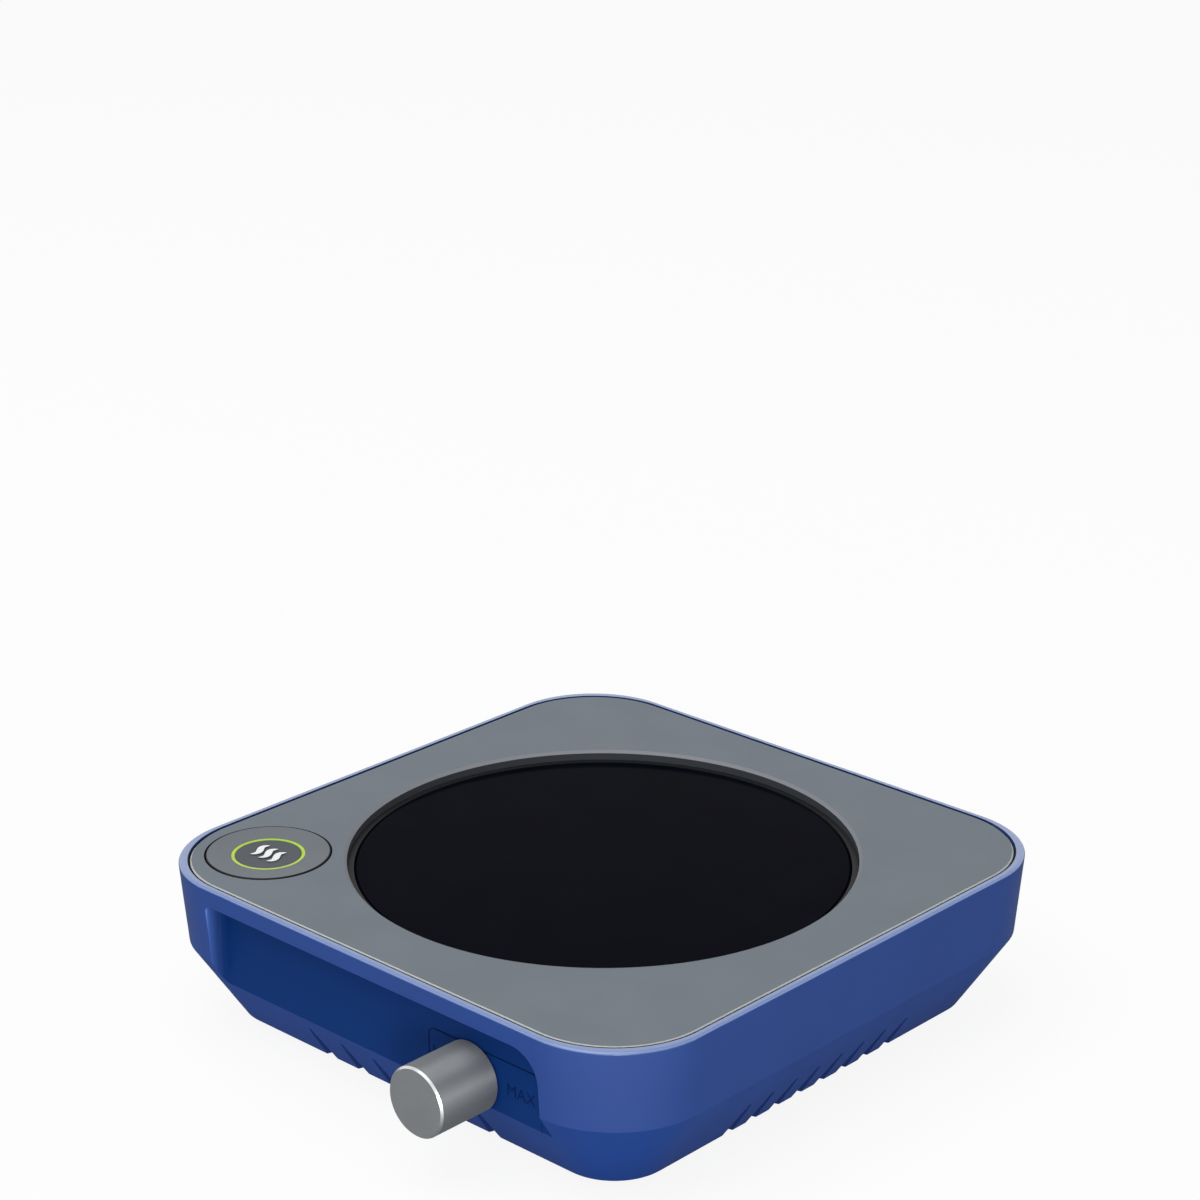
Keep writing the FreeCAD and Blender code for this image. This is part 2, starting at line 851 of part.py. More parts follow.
def head_pocket(x, y):
    """Countersink and clearance hole of a case screw in the base cover."""
    wide = flat_head_width * screw_radius + seat_gap
    narrow = screw_radius + seat_gap
    return revolved([
        (0, case_height + overcut),
        (wide, case_height + overcut),
        (wide, case_height),
        (narrow, case_height - screw_radius),
        (narrow, cover_inside - overcut),
        (0, cover_inside - overcut),
    ], x, y)


def vent_slots():
    """Two groups of slots beside the motor."""
    slots = []
    for side in (-1, 1):
        for number in range(slot_count):
            y = slot_y + slot_pitch * (number - (slot_count - 1) / 2)
            slots.append(bar(slot_length, slot_width, cover_inside - overcut, case_height + overcut,
                             side * slot_x, y))
    return slots


def base_cover():
    """Bottom plate with foot pockets, motor posts, board standoffs and vent slots."""
    plate = slab(cover_half_side, cover_corner_radius, cover_inside, case_height)
    root = case_height - cover_thickness / 2
    motor_posts = discs(post_radius, bracket_bottom, root, bracket_posts())
    standoffs = discs(standoff_radius, standoff_top, root, board_corners())
    cover = fused([plate] + motor_posts + standoffs)

    cuts = discs(foot_radius + seat_gap, case_height - foot_sink, case_height, foot_places())
    cuts += [head_pocket(x, y) for x, y in panel_posts() + [(-post_place, -post_place)]]
    bracket_thread_bottom = bracket_top + bracket_screw_length + thread_spare
    cuts += discs(screw_radius + running_gap, bracket_bottom, bracket_thread_bottom, bracket_posts())
    board_thread_bottom = main_board_top + main_board_screw_length + thread_spare
    cuts += discs(small_screw_radius + running_gap, standoff_top, board_thread_bottom, board_corners())
    return cover.cut(cuts + vent_slots())


def foot_places():
    """Centres of the four feet."""
    return [(x * foot_place, y * foot_place) for x, y in ((-1, -1), (1, -1), (1, 1), (-1, 1))]


def rubber_foot(x, y):
    """Rubber foot glued in its pocket."""
    foot_top = case_height - foot_sink
    return revolved([
        (0, foot_top),
        (foot_radius, foot_top),
        (foot_radius, foot_bottom - foot_bevel),
        (foot_radius - foot_bevel, foot_bottom),
        (0, foot_bottom),
    ], x, y)


def plate_screws_at():
    """Three bosses that clamp the heat shield to the hot plate."""
    return [on_circle(plate_screw_circle, angle) for angle in post_angles]


def sensor_at():
    """Temperature sensor, near the plate rim at the rear right."""
    return on_circle(plate_screw_circle, sensor_angle)


def hot_plate():
    """Heating plate with a softened rim and three screw bosses underneath."""
    plate = revolved([
        (0, plate_recess),
        (plate_radius - plate_edge_bevel, plate_recess),
        (plate_radius, plate_recess + plate_edge_bevel),
        (plate_radius, plate_bottom),
        (0, plate_bottom),
    ])
    bosses = discs(plate_boss_radius, plate_bottom - plate_edge_bevel, insulation_bottom, plate_screws_at())
    thread_end = shield_bottom - plate_screw_length - thread_spare
    threads = discs(screw_radius + running_gap, thread_end, insulation_bottom, plate_screws_at())
    sensor_bore = disc(sensor_radius + seat_gap, plate_bottom - sensor_sink, plate_bottom, *sensor_at())
    return fused([plate] + bosses).cut(threads + [sensor_bore])


def plate_gasket():
    """Seal of L section between the hot plate and the panel well."""
    outer = plate_opening_radius - seat_gap
    inner = plate_radius + seat_gap
    return revolved([
        (inner, plate_recess),
        (outer, plate_recess),
        (outer, flange_top),
        (flange_radius, flange_top),
        (flange_radius, plate_bottom),
        (inner, plate_bottom),
    ])


def cutout_at():
    """Thermal cut-out, at the rear of the heat shield."""
    return on_circle(plate_screw_circle, cutout_angle)


def tab_end(side):
    """X of the end of a cut-out tab, left -1 or right 1."""
    return cutout_at()[0] + side * (cutout_radius + cutout_tab_reach)


def heater_leads_at():
    """Holes for the two heater leads, one beside the sensor and one beside the cut-out."""
    return [
        on_circle(plate_screw_circle, heater_lead_angle),
        (tab_end(1) + heater_tab_run, cutout_at()[1]),
    ]


def pierced_disc(top, bottom, places=()):
    """Disc under the hot plate that clears its bosses, the sensor and any leads."""
    holes = discs(plate_boss_radius + seat_gap, top, bottom, plate_screws_at())
    holes.append(disc(sensor_radius + seat_gap, top, bottom, *sensor_at()))
    holes += discs(lead_radius + lead_hole_gap, top, bottom, places)
    return disc(foil_radius, top, bottom).cut(holes)


def heat_shield():
    """Pressed pan that clamps the insulation and hangs the plate in the panel."""
    pan = revolved([
        (0, insulation_bottom),
        (dish_radius - shield_sheet, insulation_bottom),
        (dish_radius - shield_sheet, flange_bottom),
        (shield_radius, flange_bottom),
        (shield_radius, flange_bottom + shield_sheet),
        (dish_radius, flange_bottom + shield_sheet),
        (dish_radius, shield_bottom),
        (0, shield_bottom),
    ])
    holes = discs(screw_radius + seat_gap, insulation_bottom, shield_bottom, plate_screws_at())
    holes.append(disc(sensor_radius + seat_gap, insulation_bottom, shield_bottom, *sensor_at()))
    holes += discs(lead_radius + lead_hole_gap, insulation_bottom, shield_bottom, heater_leads_at())
    return pan.cut(holes)


def temperature_sensor():
    """Sensor sleeve pushed up into the hot plate."""
    x, y = sensor_at()
    sleeve = disc(sensor_radius, plate_bottom - sensor_sink, shield_bottom + sensor_tail, x, y)
    collar = disc(sensor_collar_radius, shield_bottom, shield_bottom + sensor_collar_height, x, y)
    return fused([sleeve, collar])


def thermal_cutout():
    """Bimetal cut-out with two tabs, flat against the heat shield."""
    x, y = cutout_at()
    can = disc(cutout_radius, shield_bottom, shield_bottom + cutout_height, x, y)
    tab_top = shield_bottom + cutout_tab_drop
    tabs = centred_block(
        x, y, 2 * (cutout_radius + cutout_tab_reach), cutout_tab_width,
        tab_top, tab_top + cutout_tab_thickness,
    )
    return fused([can, tabs])


def magnet_holder():
    """Steel yoke bar with a hub for the shaft."""
    yoke = bar(2 * rotor_radius, 2 * (magnet_radius + yoke_rim), magnet_bottom, yoke_bottom)
    hub = disc(hub_radius, magnet_bottom, hub_bottom)
    return fused([yoke, hub]).cut(disc(shaft_radius + press_gap, magnet_bottom, hub_bottom))


def drive_magnet(side):
    """Round magnet on one end of the yoke."""
    return disc(magnet_radius, magnet_top, magnet_bottom, side * magnet_spacing / 2, 0)


def motor_shaft():
    """Shaft from the yoke down through both bearings."""
    return disc(shaft_radius, magnet_bottom, motor_bottom - shaft_end_gap)


def motor_body():
    """Flat motor can with a pilot, hollow round the shaft and open for the bearings."""
    can = revolved([
        (0, pilot_top),
        (motor_pilot_radius, pilot_top),
        (motor_pilot_radius, bracket_bottom),
        (motor_radius - motor_edge_bevel, bracket_bottom),
        (motor_radius, bracket_bottom + motor_edge_bevel),
        (motor_radius, motor_bottom - motor_edge_bevel),
        (motor_radius - motor_edge_bevel, motor_bottom),
        (0, motor_bottom),
    ])
    bore = disc(shaft_radius + motor_shaft_gap, pilot_top - overcut, motor_bottom + overcut)
    upper = disc(bearing_radius + press_gap, pilot_top - overcut, pilot_top + bearing_height)
    lower = disc(bearing_radius + press_gap, motor_bottom - bearing_height, motor_bottom + overcut)
    thread_end = bracket_top + motor_screw_length + thread_spare
    threads = discs(small_screw_radius + running_gap, bracket_bottom, thread_end, motor_screws_at())
    return can.cut([bore, upper, lower] + threads)


def bearing(top):
    """Ball bearing drawn as its ring."""
    return ring(bearing_radius, shaft_radius + running_gap, top, top + bearing_height)


def motor_screws_at():
    """Three screws that hang the motor under its bracket."""
    return [on_circle(motor_screw_circle, angle) for angle in motor_screw_angles]


def bracket_posts():
    """Three posts of the base cover that carry the motor bracket."""
    return [on_circle(bracket_post_circle, angle) for angle in post_angles]


def motor_bracket():
    """Three armed sheet bracket over the motor."""
    reach = bracket_post_circle + bracket_arm_width / 2
    arm = bar(reach, bracket_arm_width, bracket_top, bracket_bottom, reach / 2)
    arms = [turned(arm, angle) for angle in post_angles]
    middle = disc(motor_screw_circle + bracket_hub_margin, bracket_top, bracket_bottom)
    holes = [disc(motor_pilot_radius + seat_gap, bracket_top, bracket_bottom)]
    holes += discs(small_screw_radius + seat_gap, bracket_top, bracket_bottom, motor_screws_at())
    holes += discs(screw_radius + seat_gap, bracket_top, bracket_bottom, bracket_posts())
    return fused([middle] + arms).cut(holes)


def board_corners():
    """Four standoffs of the main board."""
    front = main_board_front + board_corner_inset
    rear = main_board_rear - board_corner_inset
    return [(-corner_x, front), (corner_x, front), (corner_x, rear), (-corner_x, rear)]


def main_board():
    """Circuit board with its four screw holes."""
    half = main_board_length / 2
    board = block(-half, half, main_board_front, main_board_rear, main_board_top, standoff_top)
    return board.cut(discs(small_screw_radius + seat_gap, main_board_top, standoff_top, board_corners()))


def capacitors_at():
    """Two can capacitors beside the left rear standoff."""
    first = -corner_x + capacitor_radius + board_part_gap
    y = main_board_rear - board_rear_gap - capacitor_radius
    return [(first + number * capacitor_pitch, y) for number in range(capacitor_count)]


def capacitors():
    """Can capacitors on the main board."""
    top = main_board_top - capacitor_height
    cans = []
    for x, y in capacitors_at():
        cans.append(revolved([
            (0, top),
            (capacitor_radius - capacitor_bevel, top),
            (capacitor_radius, top + capacitor_bevel),
            (capacitor_radius, main_board_top),
            (0, main_board_top),
        ], x, y))
    return group(cans)


def heat_sink_left():
    """Left end of the heat sink, which ends before the right rear standoff."""
    return corner_x - board_part_gap - heat_sink_length


def heat_sink_front():
    """Front face of the heat sink, where the transistors lie."""
    return main_board_rear - board_rear_gap - fin_reach - heat_sink_base


def heat_sink():
    """Finned heat sink beside the power transistors."""
    left = heat_sink_left()
    fins_front = heat_sink_front() + heat_sink_base
    top = main_board_top - heat_sink_height
    pieces = [block(left, left + heat_sink_length, heat_sink_front(), fins_front, top, main_board_top)]
    pitch = (heat_sink_length - fin_thickness) / (fin_count - 1)
    for number in range(fin_count):
        x = left + number * pitch
        pieces.append(block(x, x + fin_thickness, fins_front, fins_front + fin_reach, top, main_board_top))
    return fused(pieces)


def power_transistors():
    """Two transistors screwed flat against the heat sink."""
    rear = heat_sink_front()
    top = main_board_top - transistor_height
    left = heat_sink_left() + transistor_margin
    right = heat_sink_left() + heat_sink_length - transistor_margin - transistor_width
    cases = []
    for x in (left, right):
        cases.append(block(x, x + transistor_width, rear - transistor_thickness, rear, top, main_board_top))
    return group(cases)


def header_places():
    """Lead headers in a row along the front edge of the main board."""
    y = main_board_front + board_wall_gap + connector_width / 2
    return [(connector_pitch * (number - (connector_count - 1) / 2), y) for number in range(connector_count)]


def board_connectors():
    """Open headers that the leads plug into."""
    top = main_board_top - connector_height
    headers = []
    for x, y in header_places():
        shell = centred_block(x, y, connector_length, connector_width, top, main_board_top)
        socket = centred_block(
            x, y, connector_length - 2 * connector_wall, connector_width - 2 * connector_wall,
            top - overcut, main_board_top - connector_floor,
        )
        headers.append(shell.cut(socket))
    return group(headers)


def control_chip():
    """Controller chip between the capacitors and the heat sink."""
    last_capacitor = capacitors_at()[-1]
    x = (last_capacitor[0] + capacitor_radius + heat_sink_left()) / 2
    top = main_board_top - chip_height
    return centred_block(x, last_capacitor[1], chip_side, chip_side, top, main_board_top)


def inlet_tags(start):
    """Two solder tags on the rear of the inlet barrel, sunk a little into it."""
    tags = []
    for side in (-1, 1):
        x = inlet_x + inlet_tag_offset * side
        tags.append(block(
            x - inlet_tag_width / 2, x + inlet_tag_width / 2,
            start - inlet_tag_length, start + inlet_tag_thickness,
            inlet_depth - inlet_tag_thickness / 2, inlet_depth + inlet_tag_thickness / 2,
        ))
    return tags


def power_inlet():
    """Low voltage socket: flange in the rear pocket, barrel, centre pin and two tags."""
    face = inlet_pocket_y()
    outside = face + inlet_flange
    start = face - inlet_barrel_length
    flange = inlet_block(0, face, outside)
    barrel = along_y(inlet_barrel_radius, start, inlet_barrel_length, inlet_x, inlet_depth)
    socket = along_y(
        inlet_socket_radius, outside - inlet_socket_depth, inlet_socket_depth, inlet_x, inlet_depth
    )
    pin = along_y(inlet_pin_radius, start, inlet_barrel_length, inlet_x, inlet_depth)
    return fused([flange.fuse(barrel).cut(socket), pin] + inlet_tags(start))


def inlet_nut():
    """Hexagon nut that clamps the inlet from inside."""
    start = inlet_pocket_y() - inlet_wall - inlet_nut_thickness
    half_flat = inlet_barrel_radius + inlet_nut_wall
    nut = hexagon(half_flat, start, inlet_nut_thickness, inlet_x, inlet_depth)
    bore = along_y(inlet_barrel_radius + running_gap, start, inlet_nut_thickness, inlet_x, inlet_depth)
    return nut.cut(bore)


def pot_pins():
    """Three solder pins on the rear of the potentiometer."""
    top = knob_depth + pot_pin_drop - pot_pin_thickness / 2
    pins = []
    for number in (-1, 0, 1):
        x = knob_x + pot_pin_pitch * number
        pins.append(block(
            x - pot_pin_width / 2, x + pot_pin_width / 2, -pot_back, -pot_back + pot_pin_length,
            top, top + pot_pin_thickness,
        ))
    return pins


def speed_pot():
    """Potentiometer body behind the front wall, with its threaded bushing."""
    body = block(
        knob_x - pot_half_width, knob_x + pot_half_width, -wall_back, -pot_back,
        knob_depth - pot_half_width, knob_depth + pot_half_width,
    )
    bushing = along_y(pot_bushing_radius, -bushing_front, bushing_front - wall_back, knob_x, knob_depth)
    bore_length = bushing_front - pot_back - pot_back_wall
    bore = along_y(pot_shaft_radius + running_gap, -bushing_front, bore_length, knob_x, knob_depth)
    return fused([body, bushing] + pot_pins()).cut(bore)


def pot_washer():
    """Flat washer under the potentiometer nut."""
    start = -recess_face - washer_thickness
    outer = along_y(nut_half_flat + washer_lap, start, washer_thickness, knob_x, knob_depth)
    return outer.cut(along_y(pot_bushing_radius + seat_gap, start, washer_thickness, knob_x, knob_depth))


def pot_nut():
    """Hexagon nut on the potentiometer bushing."""
    start = -recess_face - washer_thickness - nut_thickness
    nut = hexagon(nut_half_flat, start, nut_thickness, knob_x, knob_depth)
    return nut.cut(along_y(pot_bushing_radius + running_gap, start, nut_thickness, knob_x, knob_depth))


def pot_shaft():
    """Shaft from inside the potentiometer to the knob."""
    end = -pot_back - pot_back_wall - pot_shaft_end_gap
    return along_y(pot_shaft_radius, -pot_shaft_front, end + pot_shaft_front, knob_x, knob_depth)


def knob_screw_at():
    """Point on the knob axis where the set screw presses on the shaft."""
    return Vector(knob_x, -bushing_front - knob_screw_reach, level(knob_depth))


def speed_knob():
    """Turned knob with a bevelled front edge, a hollow for the nut and a blind shaft bore."""
    body = along_y(
        knob_radius, knob_edge_bevel - knob_front, knob_length - knob_edge_bevel, knob_x, knob_depth
    )
    bevel = Part.makeCone(
        knob_radius - knob_edge_bevel, knob_radius, knob_edge_bevel,
        Vector(knob_x, -knob_front, level(knob_depth)), Vector(0, 1, 0),
    )
    hollow_length = pot_bushing_reach + knob_nut_gap
    hollow = along_y(knob_hollow_radius, -recess_face - hollow_length, hollow_length, knob_x, knob_depth)
    bore_start = -pot_shaft_front - shaft_end_gap
    bore = along_y(pot_shaft_radius + press_gap, bore_start, -recess_face - bore_start, knob_x, knob_depth)
    thread = Part.makeCylinder(
        small_screw_radius + running_gap, knob_radius, knob_screw_at(), Vector(0, 0, -1)
    )
    return fused([body, bevel]).cut([hollow, bore, thread])


def knob_set_screw():
    """Set screw in the underside of the knob."""
    down = Vector(0, 0, -1)
    start = knob_screw_at() + down * (pot_shaft_radius + press_gap)
    length = knob_radius - pot_shaft_radius - knob_screw_sink
    screw = Part.makeCylinder(small_screw_radius, length, start, down)
    socket_start = start + down * (length - knob_screw_socket_depth)
    return screw.cut(Part.makeCylinder(knob_screw_socket_radius, knob_screw_socket_depth, socket_start, down))


def dish_depth(radius):
    """Depth of the dished button top at a radius from its centre, its rim a little proud."""
    return button_dish * (1 - (radius / button_radius) ** 2) - button_rise


def button_lug(angle):
    """Retaining lug that hooks under the button guide."""
    reach = button_radius + button_gap + lug_lap
    lug = block(
        button_radius - button_skirt, reach, -lug_width / 2, lug_width / 2, lug_top, lug_bottom
    )
    lug = turned(lug, angle)
    lug.translate(Vector(button_x, button_y, 0))
    return lug


def button_cap():
    """Outer part of the heat button: dished top, skirt and three retaining lugs."""
    inner = light_ring_radius + light_ring_width / 2 + running_gap
    shoulder = button_radius - button_edge_bevel
    top = []
    for step in range(dish_steps + 1):
        radius = inner + (shoulder - inner) * step / dish_steps
        top.append((radius, dish_depth(radius)))
    cap = revolved(top + [
        (button_radius, button_edge_bevel - button_rise),
        (button_radius, lug_bottom),
        (button_radius - button_skirt, lug_bottom),
        (button_radius - button_skirt, button_underside),
        (inner, button_underside),
    ], button_x, button_y)
    return fused([cap] + [button_lug(angle) for angle in lug_angles])


def button_light_ring():
    """Clear ring that shows in the button and guides light up from the board."""
    outer = light_ring_radius + light_ring_width / 2
    inner = light_ring_radius - light_ring_width / 2
    return revolved([
        (inner, dish_depth(inner)),
        (outer, dish_depth(outer)),
        (outer, button_underside),
        (outer + light_flange_outer_lap, button_underside),
        (outer + light_flange_outer_lap, light_flange_bottom),
        (outer, light_flange_bottom),
        (outer, light_guide_bottom),
        (inner, light_guide_bottom),
        (inner, light_flange_bottom),
        (inner - light_flange_inner_lap, light_flange_bottom),
        (inner - light_flange_inner_lap, button_underside),
        (inner, button_underside),
    ], button_x, button_y)


def button_centre():
    """Centre disc of the button with the pusher that meets the switch."""
    radius = light_ring_radius - light_ring_width / 2 - light_ring_gap
    return revolved([
        (0, dish_depth(0)),
        (radius, dish_depth(radius)),
        (radius, button_underside),
        (stem_radius + pusher_margin, button_underside),
        (stem_radius + pusher_margin, light_flange_bottom),
        (0, light_flange_bottom),
    ], button_x, button_y)


def switch_stem():
    """Moving stem of the switch, always against the pusher."""
    return disc(stem_radius, light_flange_bottom, switch_top + stem_sunk, button_x, button_y)


def switch_body():
    """Push switch on the button board, hollow under its stem."""
    side = 2 * switch_half_side
    body = centred_block(button_x, button_y, side, side, switch_top, button_board_top)
    well_bottom = switch_top + stem_sunk + button_travel + stem_end_gap
    return body.cut(disc(stem_radius + running_gap, switch_top, well_bottom, button_x, button_y))


def button_pillars():
    """Two panel pillars that carry the button board."""
    return [(button_x + pillar_offset, button_y), (button_x, button_y + pillar_offset)]


def button_board():
    """Small five sided circuit board under the button."""
    back = -switch_half_side - board_edge_margin
    near = pillar_radius + board_pillar_margin
    far = pillar_offset + near
    corners = [(back, back), (far, back), (far, near), (near, far), (back, far)]
    points = [Vector(button_x + x, button_y + y, level(button_board_bottom)) for x, y in corners]
    board = Part.Face(Part.makePolygon(points + points[:1])).extrude(Vector(0, 0, board_thickness))
    holes = discs(small_screw_radius + seat_gap, button_board_top, button_board_bottom, button_pillars())
    return board.cut(holes)


def button_lamps():
    """Four small lamps under the light ring."""
    lamps = []
    for angle in lamp_angles:
        x, y = on_circle(light_ring_radius, angle)
        lamps.append(centred_block(
            button_x + x, button_y + y, lamp_length, lamp_width,
            button_board_top - lamp_height, button_board_top,
        ))
    return group(lamps)


def to_header(x, y, depth, radius, way, bend=lead_bend):
    """Lead that ends with a run at a depth and a drop into a header of the main board."""
    return lead(way + [(x, y, depth), (x, y, header_floor)], radius, bend)


def heater_leads():
    """Leads of the heater foil, one to the board and one to the cut-out."""
    header_x, header_y = header_places()[-1]
    (board_x, board_y), (tab_x, tab_y) = heater_leads_at()
    down = [(board_x, board_y, foil_bottom), (board_x, board_y, heater_lead_depth)]
    across = [(tab_x, tab_y, foil_bottom), (tab_x, tab_y, tab_middle), (tab_end(1), tab_y, tab_middle)]
    x = header_x - header_lead_spread
    return group([
        to_header(x, header_y, heater_lead_depth, lead_radius, down, heater_lead_bend),
        lead(across, lead_radius),
    ])


def cutout_lead():
    """Lead from the left tab of the cut-out to the board."""
    header_x, header_y = header_places()[0]
    x = header_x - cutout_lead_offset
    y = cutout_at()[1]
    way = [(tab_end(-1), y, tab_middle), (x, y, tab_middle)]
    return to_header(x, header_y, tab_middle, lead_radius, way)


def sensor_lead():
    """Jacketed lead from the tail of the temperature sensor to the board."""
    header_x, header_y = header_places()[-1]
    x, y = sensor_at()
    way = [(x, y, shield_bottom + sensor_tail), (x, y, sensor_lead_depth)]
    return to_header(header_x + header_lead_spread, header_y, sensor_lead_depth, jacket_radius, way)


def motor_lead():
    """Two thin leads from the top of the motor to the middle header."""
    header_y = header_places()[1][1]
    start_y = motor_screw_circle + bracket_hub_margin + motor_lead_gap + thin_lead_radius
    depth = yoke_bottom + thin_lead_bend
    leads = []
    for x in (-thin_lead_spread, thin_lead_spread):
        points = [(x, start_y, bracket_bottom), (x, start_y, depth), (x, header_y, depth)]
        leads.append(lead(points + [(x, header_y, header_floor)], thin_lead_radius, thin_lead_bend))
    return group(leads)


def inlet_leads():
    """Leads from the tags of the power inlet to the left end of the board."""
    start_y = inlet_pocket_y() - inlet_barrel_length - inlet_tag_length
    bend_y = start_y - inlet_lead_run
    leads = []
    for side in (-1, 1):
        tag_x = inlet_x + inlet_tag_offset * side
        x = solder_shift * side - board_end_x
        y = main_board_rear - screw_room - lead_radius
        leads.append(lead([
            (tag_x, start_y, inlet_depth),
            (tag_x, bend_y, inlet_depth),
            (tag_x, bend_y, inlet_lead_depth),
            (x, y, inlet_lead_depth),
            (x, y, main_board_top),
        ], lead_radius))
    return group(leads)


def side_lead(side, way, y):
    """Jacketed lead along one side of the base cover, then up to an end of the main board."""
    x = side * (opening_half_side - side_lead_inset)
    return lead(way + [
        (x, -side_lead_front, side_lead_depth),
        (x, y, side_lead_depth),
        (x, y, side_lead_rise_depth),
        (side * board_end_x, y, side_lead_rise_depth),
        (side * board_end_x, y, main_board_top),
    ], jacket_radius)


def pot_lead():
    """Lead from the pins of the potentiometer to the right end of the board."""
    start_y = pot_pin_length - pot_back
    bend_y = start_y + pot_lead_run
    pin_depth = knob_depth + pot_pin_drop
    way = [(knob_x, start_y, pin_depth), (knob_x, bend_y, pin_depth), (knob_x, bend_y, side_lead_depth)]
    return side_lead(1, way, main_board_front + screw_room + jacket_radius)


def button_lead():
    """Lead from the button board to the left end of the main board."""
    x = button_lead_inset_x - rim_half_side
    y = button_lead_inset_y - rim_half_side
    way = [(x, y, button_board_bottom), (x, y, side_lead_depth)]
    return side_lead(-1, way, main_board_front + screw_room + jacket_radius)


def case_screws():
    """Countersunk screws of the base cover, one in the case and three in the panel posts."""
    places = panel_posts() + [(-post_place, -post_place)]
    return group([countersunk_screw(x, y, case_height, case_screw_length, screw_radius) for x, y in places])


def screws_up(seat, length, radius, places):
    """Like screws that point up, in one node."""
    return group([screw_up(x, y, seat, length, radius) for x, y in places])


def screws_down(seat, length, radius, places):
    """Like screws that point down, in one node."""
    return group([screw_down(x, y, seat, length, radius) for x, y in places])


def fasteners():
    """Groups of like screws, one node for each group."""
    return {
        "case_screws": case_screws(),
        "shield_screws": screws_up(shield_bottom, plate_screw_length, screw_radius, plate_screws_at()),
        "bracket_screws": screws_down(bracket_top, bracket_screw_length, screw_radius, bracket_posts()),
        "motor_screws": screws_down(bracket_top, motor_screw_length, small_screw_radius, motor_screws_at()),
        "main_board_screws": screws_down(
            main_board_top, main_board_screw_length, small_screw_radius, board_corners()
        ),
        "button_board_screws": screws_up(
            button_board_bottom, button_screw_length, small_screw_radius, button_pillars()
        ),
    }


def all_nodes():
    """Every sub-part by the name of its node."""
    nodes = {
        "case_shell": case_shell(),
        "top_panel": top_panel(),
        "base_cover": base_cover(),
        "hot_plate": hot_plate(),
        "plate_gasket": plate_gasket(),
        "heater_foil": pierced_disc(plate_bottom, foil_bottom),
        "insulation_disc": pierced_disc(foil_bottom, insulation_bottom, heater_leads_at()),
        "heat_shield": heat_shield(),
        "temperature_sensor": temperature_sensor(),
        "thermal_cutout": thermal_cutout(),
        "magnet_holder": magnet_holder(),
        "drive_magnet_1": drive_magnet(-1),
        "drive_magnet_2": drive_magnet(1),
        "motor_shaft": motor_shaft(),
        "motor_body": motor_body(),
        "upper_bearing": bearing(pilot_top),
        "lower_bearing": bearing(motor_bottom - bearing_height),
        "motor_bracket": motor_bracket(),
        "main_board": main_board(),
        "capacitors": capacitors(),
        "heat_sink": heat_sink(),
        "power_transistors": power_transistors(),
        "board_connectors": board_connectors(),
        "control_chip": control_chip(),
        "power_inlet": power_inlet(),
        "inlet_nut": inlet_nut(),
        "speed_pot": speed_pot(),
        "pot_washer": pot_washer(),
        "pot_nut": pot_nut(),
        "pot_shaft": pot_shaft(),
        "speed_knob": speed_knob(),
        "knob_set_screw": knob_set_screw(),
        "button_cap": button_cap(),
        "button_light_ring": button_light_ring(),
        "button_centre": button_centre(),
        "switch_stem": switch_stem(),
        "switch_body": switch_body(),
        "button_board": button_board(),
        "button_lamps": button_lamps(),
        "heater_leads": heater_leads(),
        "cutout_lead": cutout_lead(),
        "sensor_lead": sensor_lead(),
        "motor_lead": motor_lead(),
        "inlet_leads": inlet_leads(),
        "pot_lead": pot_lead(),
        "button_lead": button_lead(),
    }
    for number, (x, y) in enumerate(foot_places(), start=1):
        nodes["rubber_foot_%d" % number] = rubber_foot(x, y)
    nodes.update(fasteners())
    return nodes


def write_parts():
    """Write one file for each node, with the origin under the middle of the footprint."""
    os.makedirs("parts", exist_ok=True)
    for name, shape in all_nodes().items():
        placed = shape.copy()
        placed.translate(Vector(0, axis_y, 0))
        placed.exportStep(os.path.join("parts", name + ".step"))
        print(name, len(placed.Solids), placed.isValid(), round(placed.Volume, 1))


write_parts()
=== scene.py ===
import math
import bmesh
import bpy
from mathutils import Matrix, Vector


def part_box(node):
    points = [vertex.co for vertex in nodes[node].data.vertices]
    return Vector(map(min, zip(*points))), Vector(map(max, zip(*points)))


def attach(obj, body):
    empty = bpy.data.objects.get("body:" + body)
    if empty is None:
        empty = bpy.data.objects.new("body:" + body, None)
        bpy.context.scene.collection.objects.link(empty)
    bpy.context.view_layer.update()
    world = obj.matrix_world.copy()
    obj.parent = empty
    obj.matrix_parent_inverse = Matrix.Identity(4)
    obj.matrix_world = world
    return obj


# Looks of a flat magnetic stirrer: finishes, printed marks, light and camera.
# Lengths are in metres, colours are written as 0 to 255 values of the screen.

MM = 0.001

# Camera at the viewing angle of the photograph
CAMERA_PLACE = Vector((0.35039, -0.37076, 0.26738))
CAMERA_TARGET = Vector((-0.087347, 0.096987, 0.0307))
CAMERA_LENS = 96.1

# Heat marks on the button
MARK_COUNT = 3
MARK_SPACING = 2.15 * MM
MARK_HEIGHT = 4.7 * MM
MARK_SWING = 0.55 * MM
MARK_WIDTH = 1.25 * MM
MARK_SHIFT = Vector((-0.2 * MM, 0.2 * MM, 0))
MARK_RISE = 0.06 * MM
MARK_DEPTH = 0.25 * MM
MARK_TAPER = 0.8
# Width of the dark painted shadow round each heat mark
MARK_SHADOW_WIDTH = 0.2 * MM
MARK_STEPS = 28
WELD_REACH = 0.001 * MM

# Painted shade on the rim top along the seam between the case and the panel, and a painted highlight on
# the pale panel edge beside it
PANEL_CORNER = 17.5 * MM
EDGE_HIGHLIGHT_WIDTH = 0.25 * MM
SEAM_SHADE_REACH = 0.45 * MM
RIM_DEPTH = 2.5 * MM

# Painted shade on the control recess face, and a painted highlight fading into that shade on its curved
# left end
RECESS_SHADE_MARGIN = 0.3 * MM
RECESS_END = -39.7 * MM
BEND_REACH = 2.5 * MM
BEND_START = 0.5 * MM
BEND_STOP = 0.4 * MM
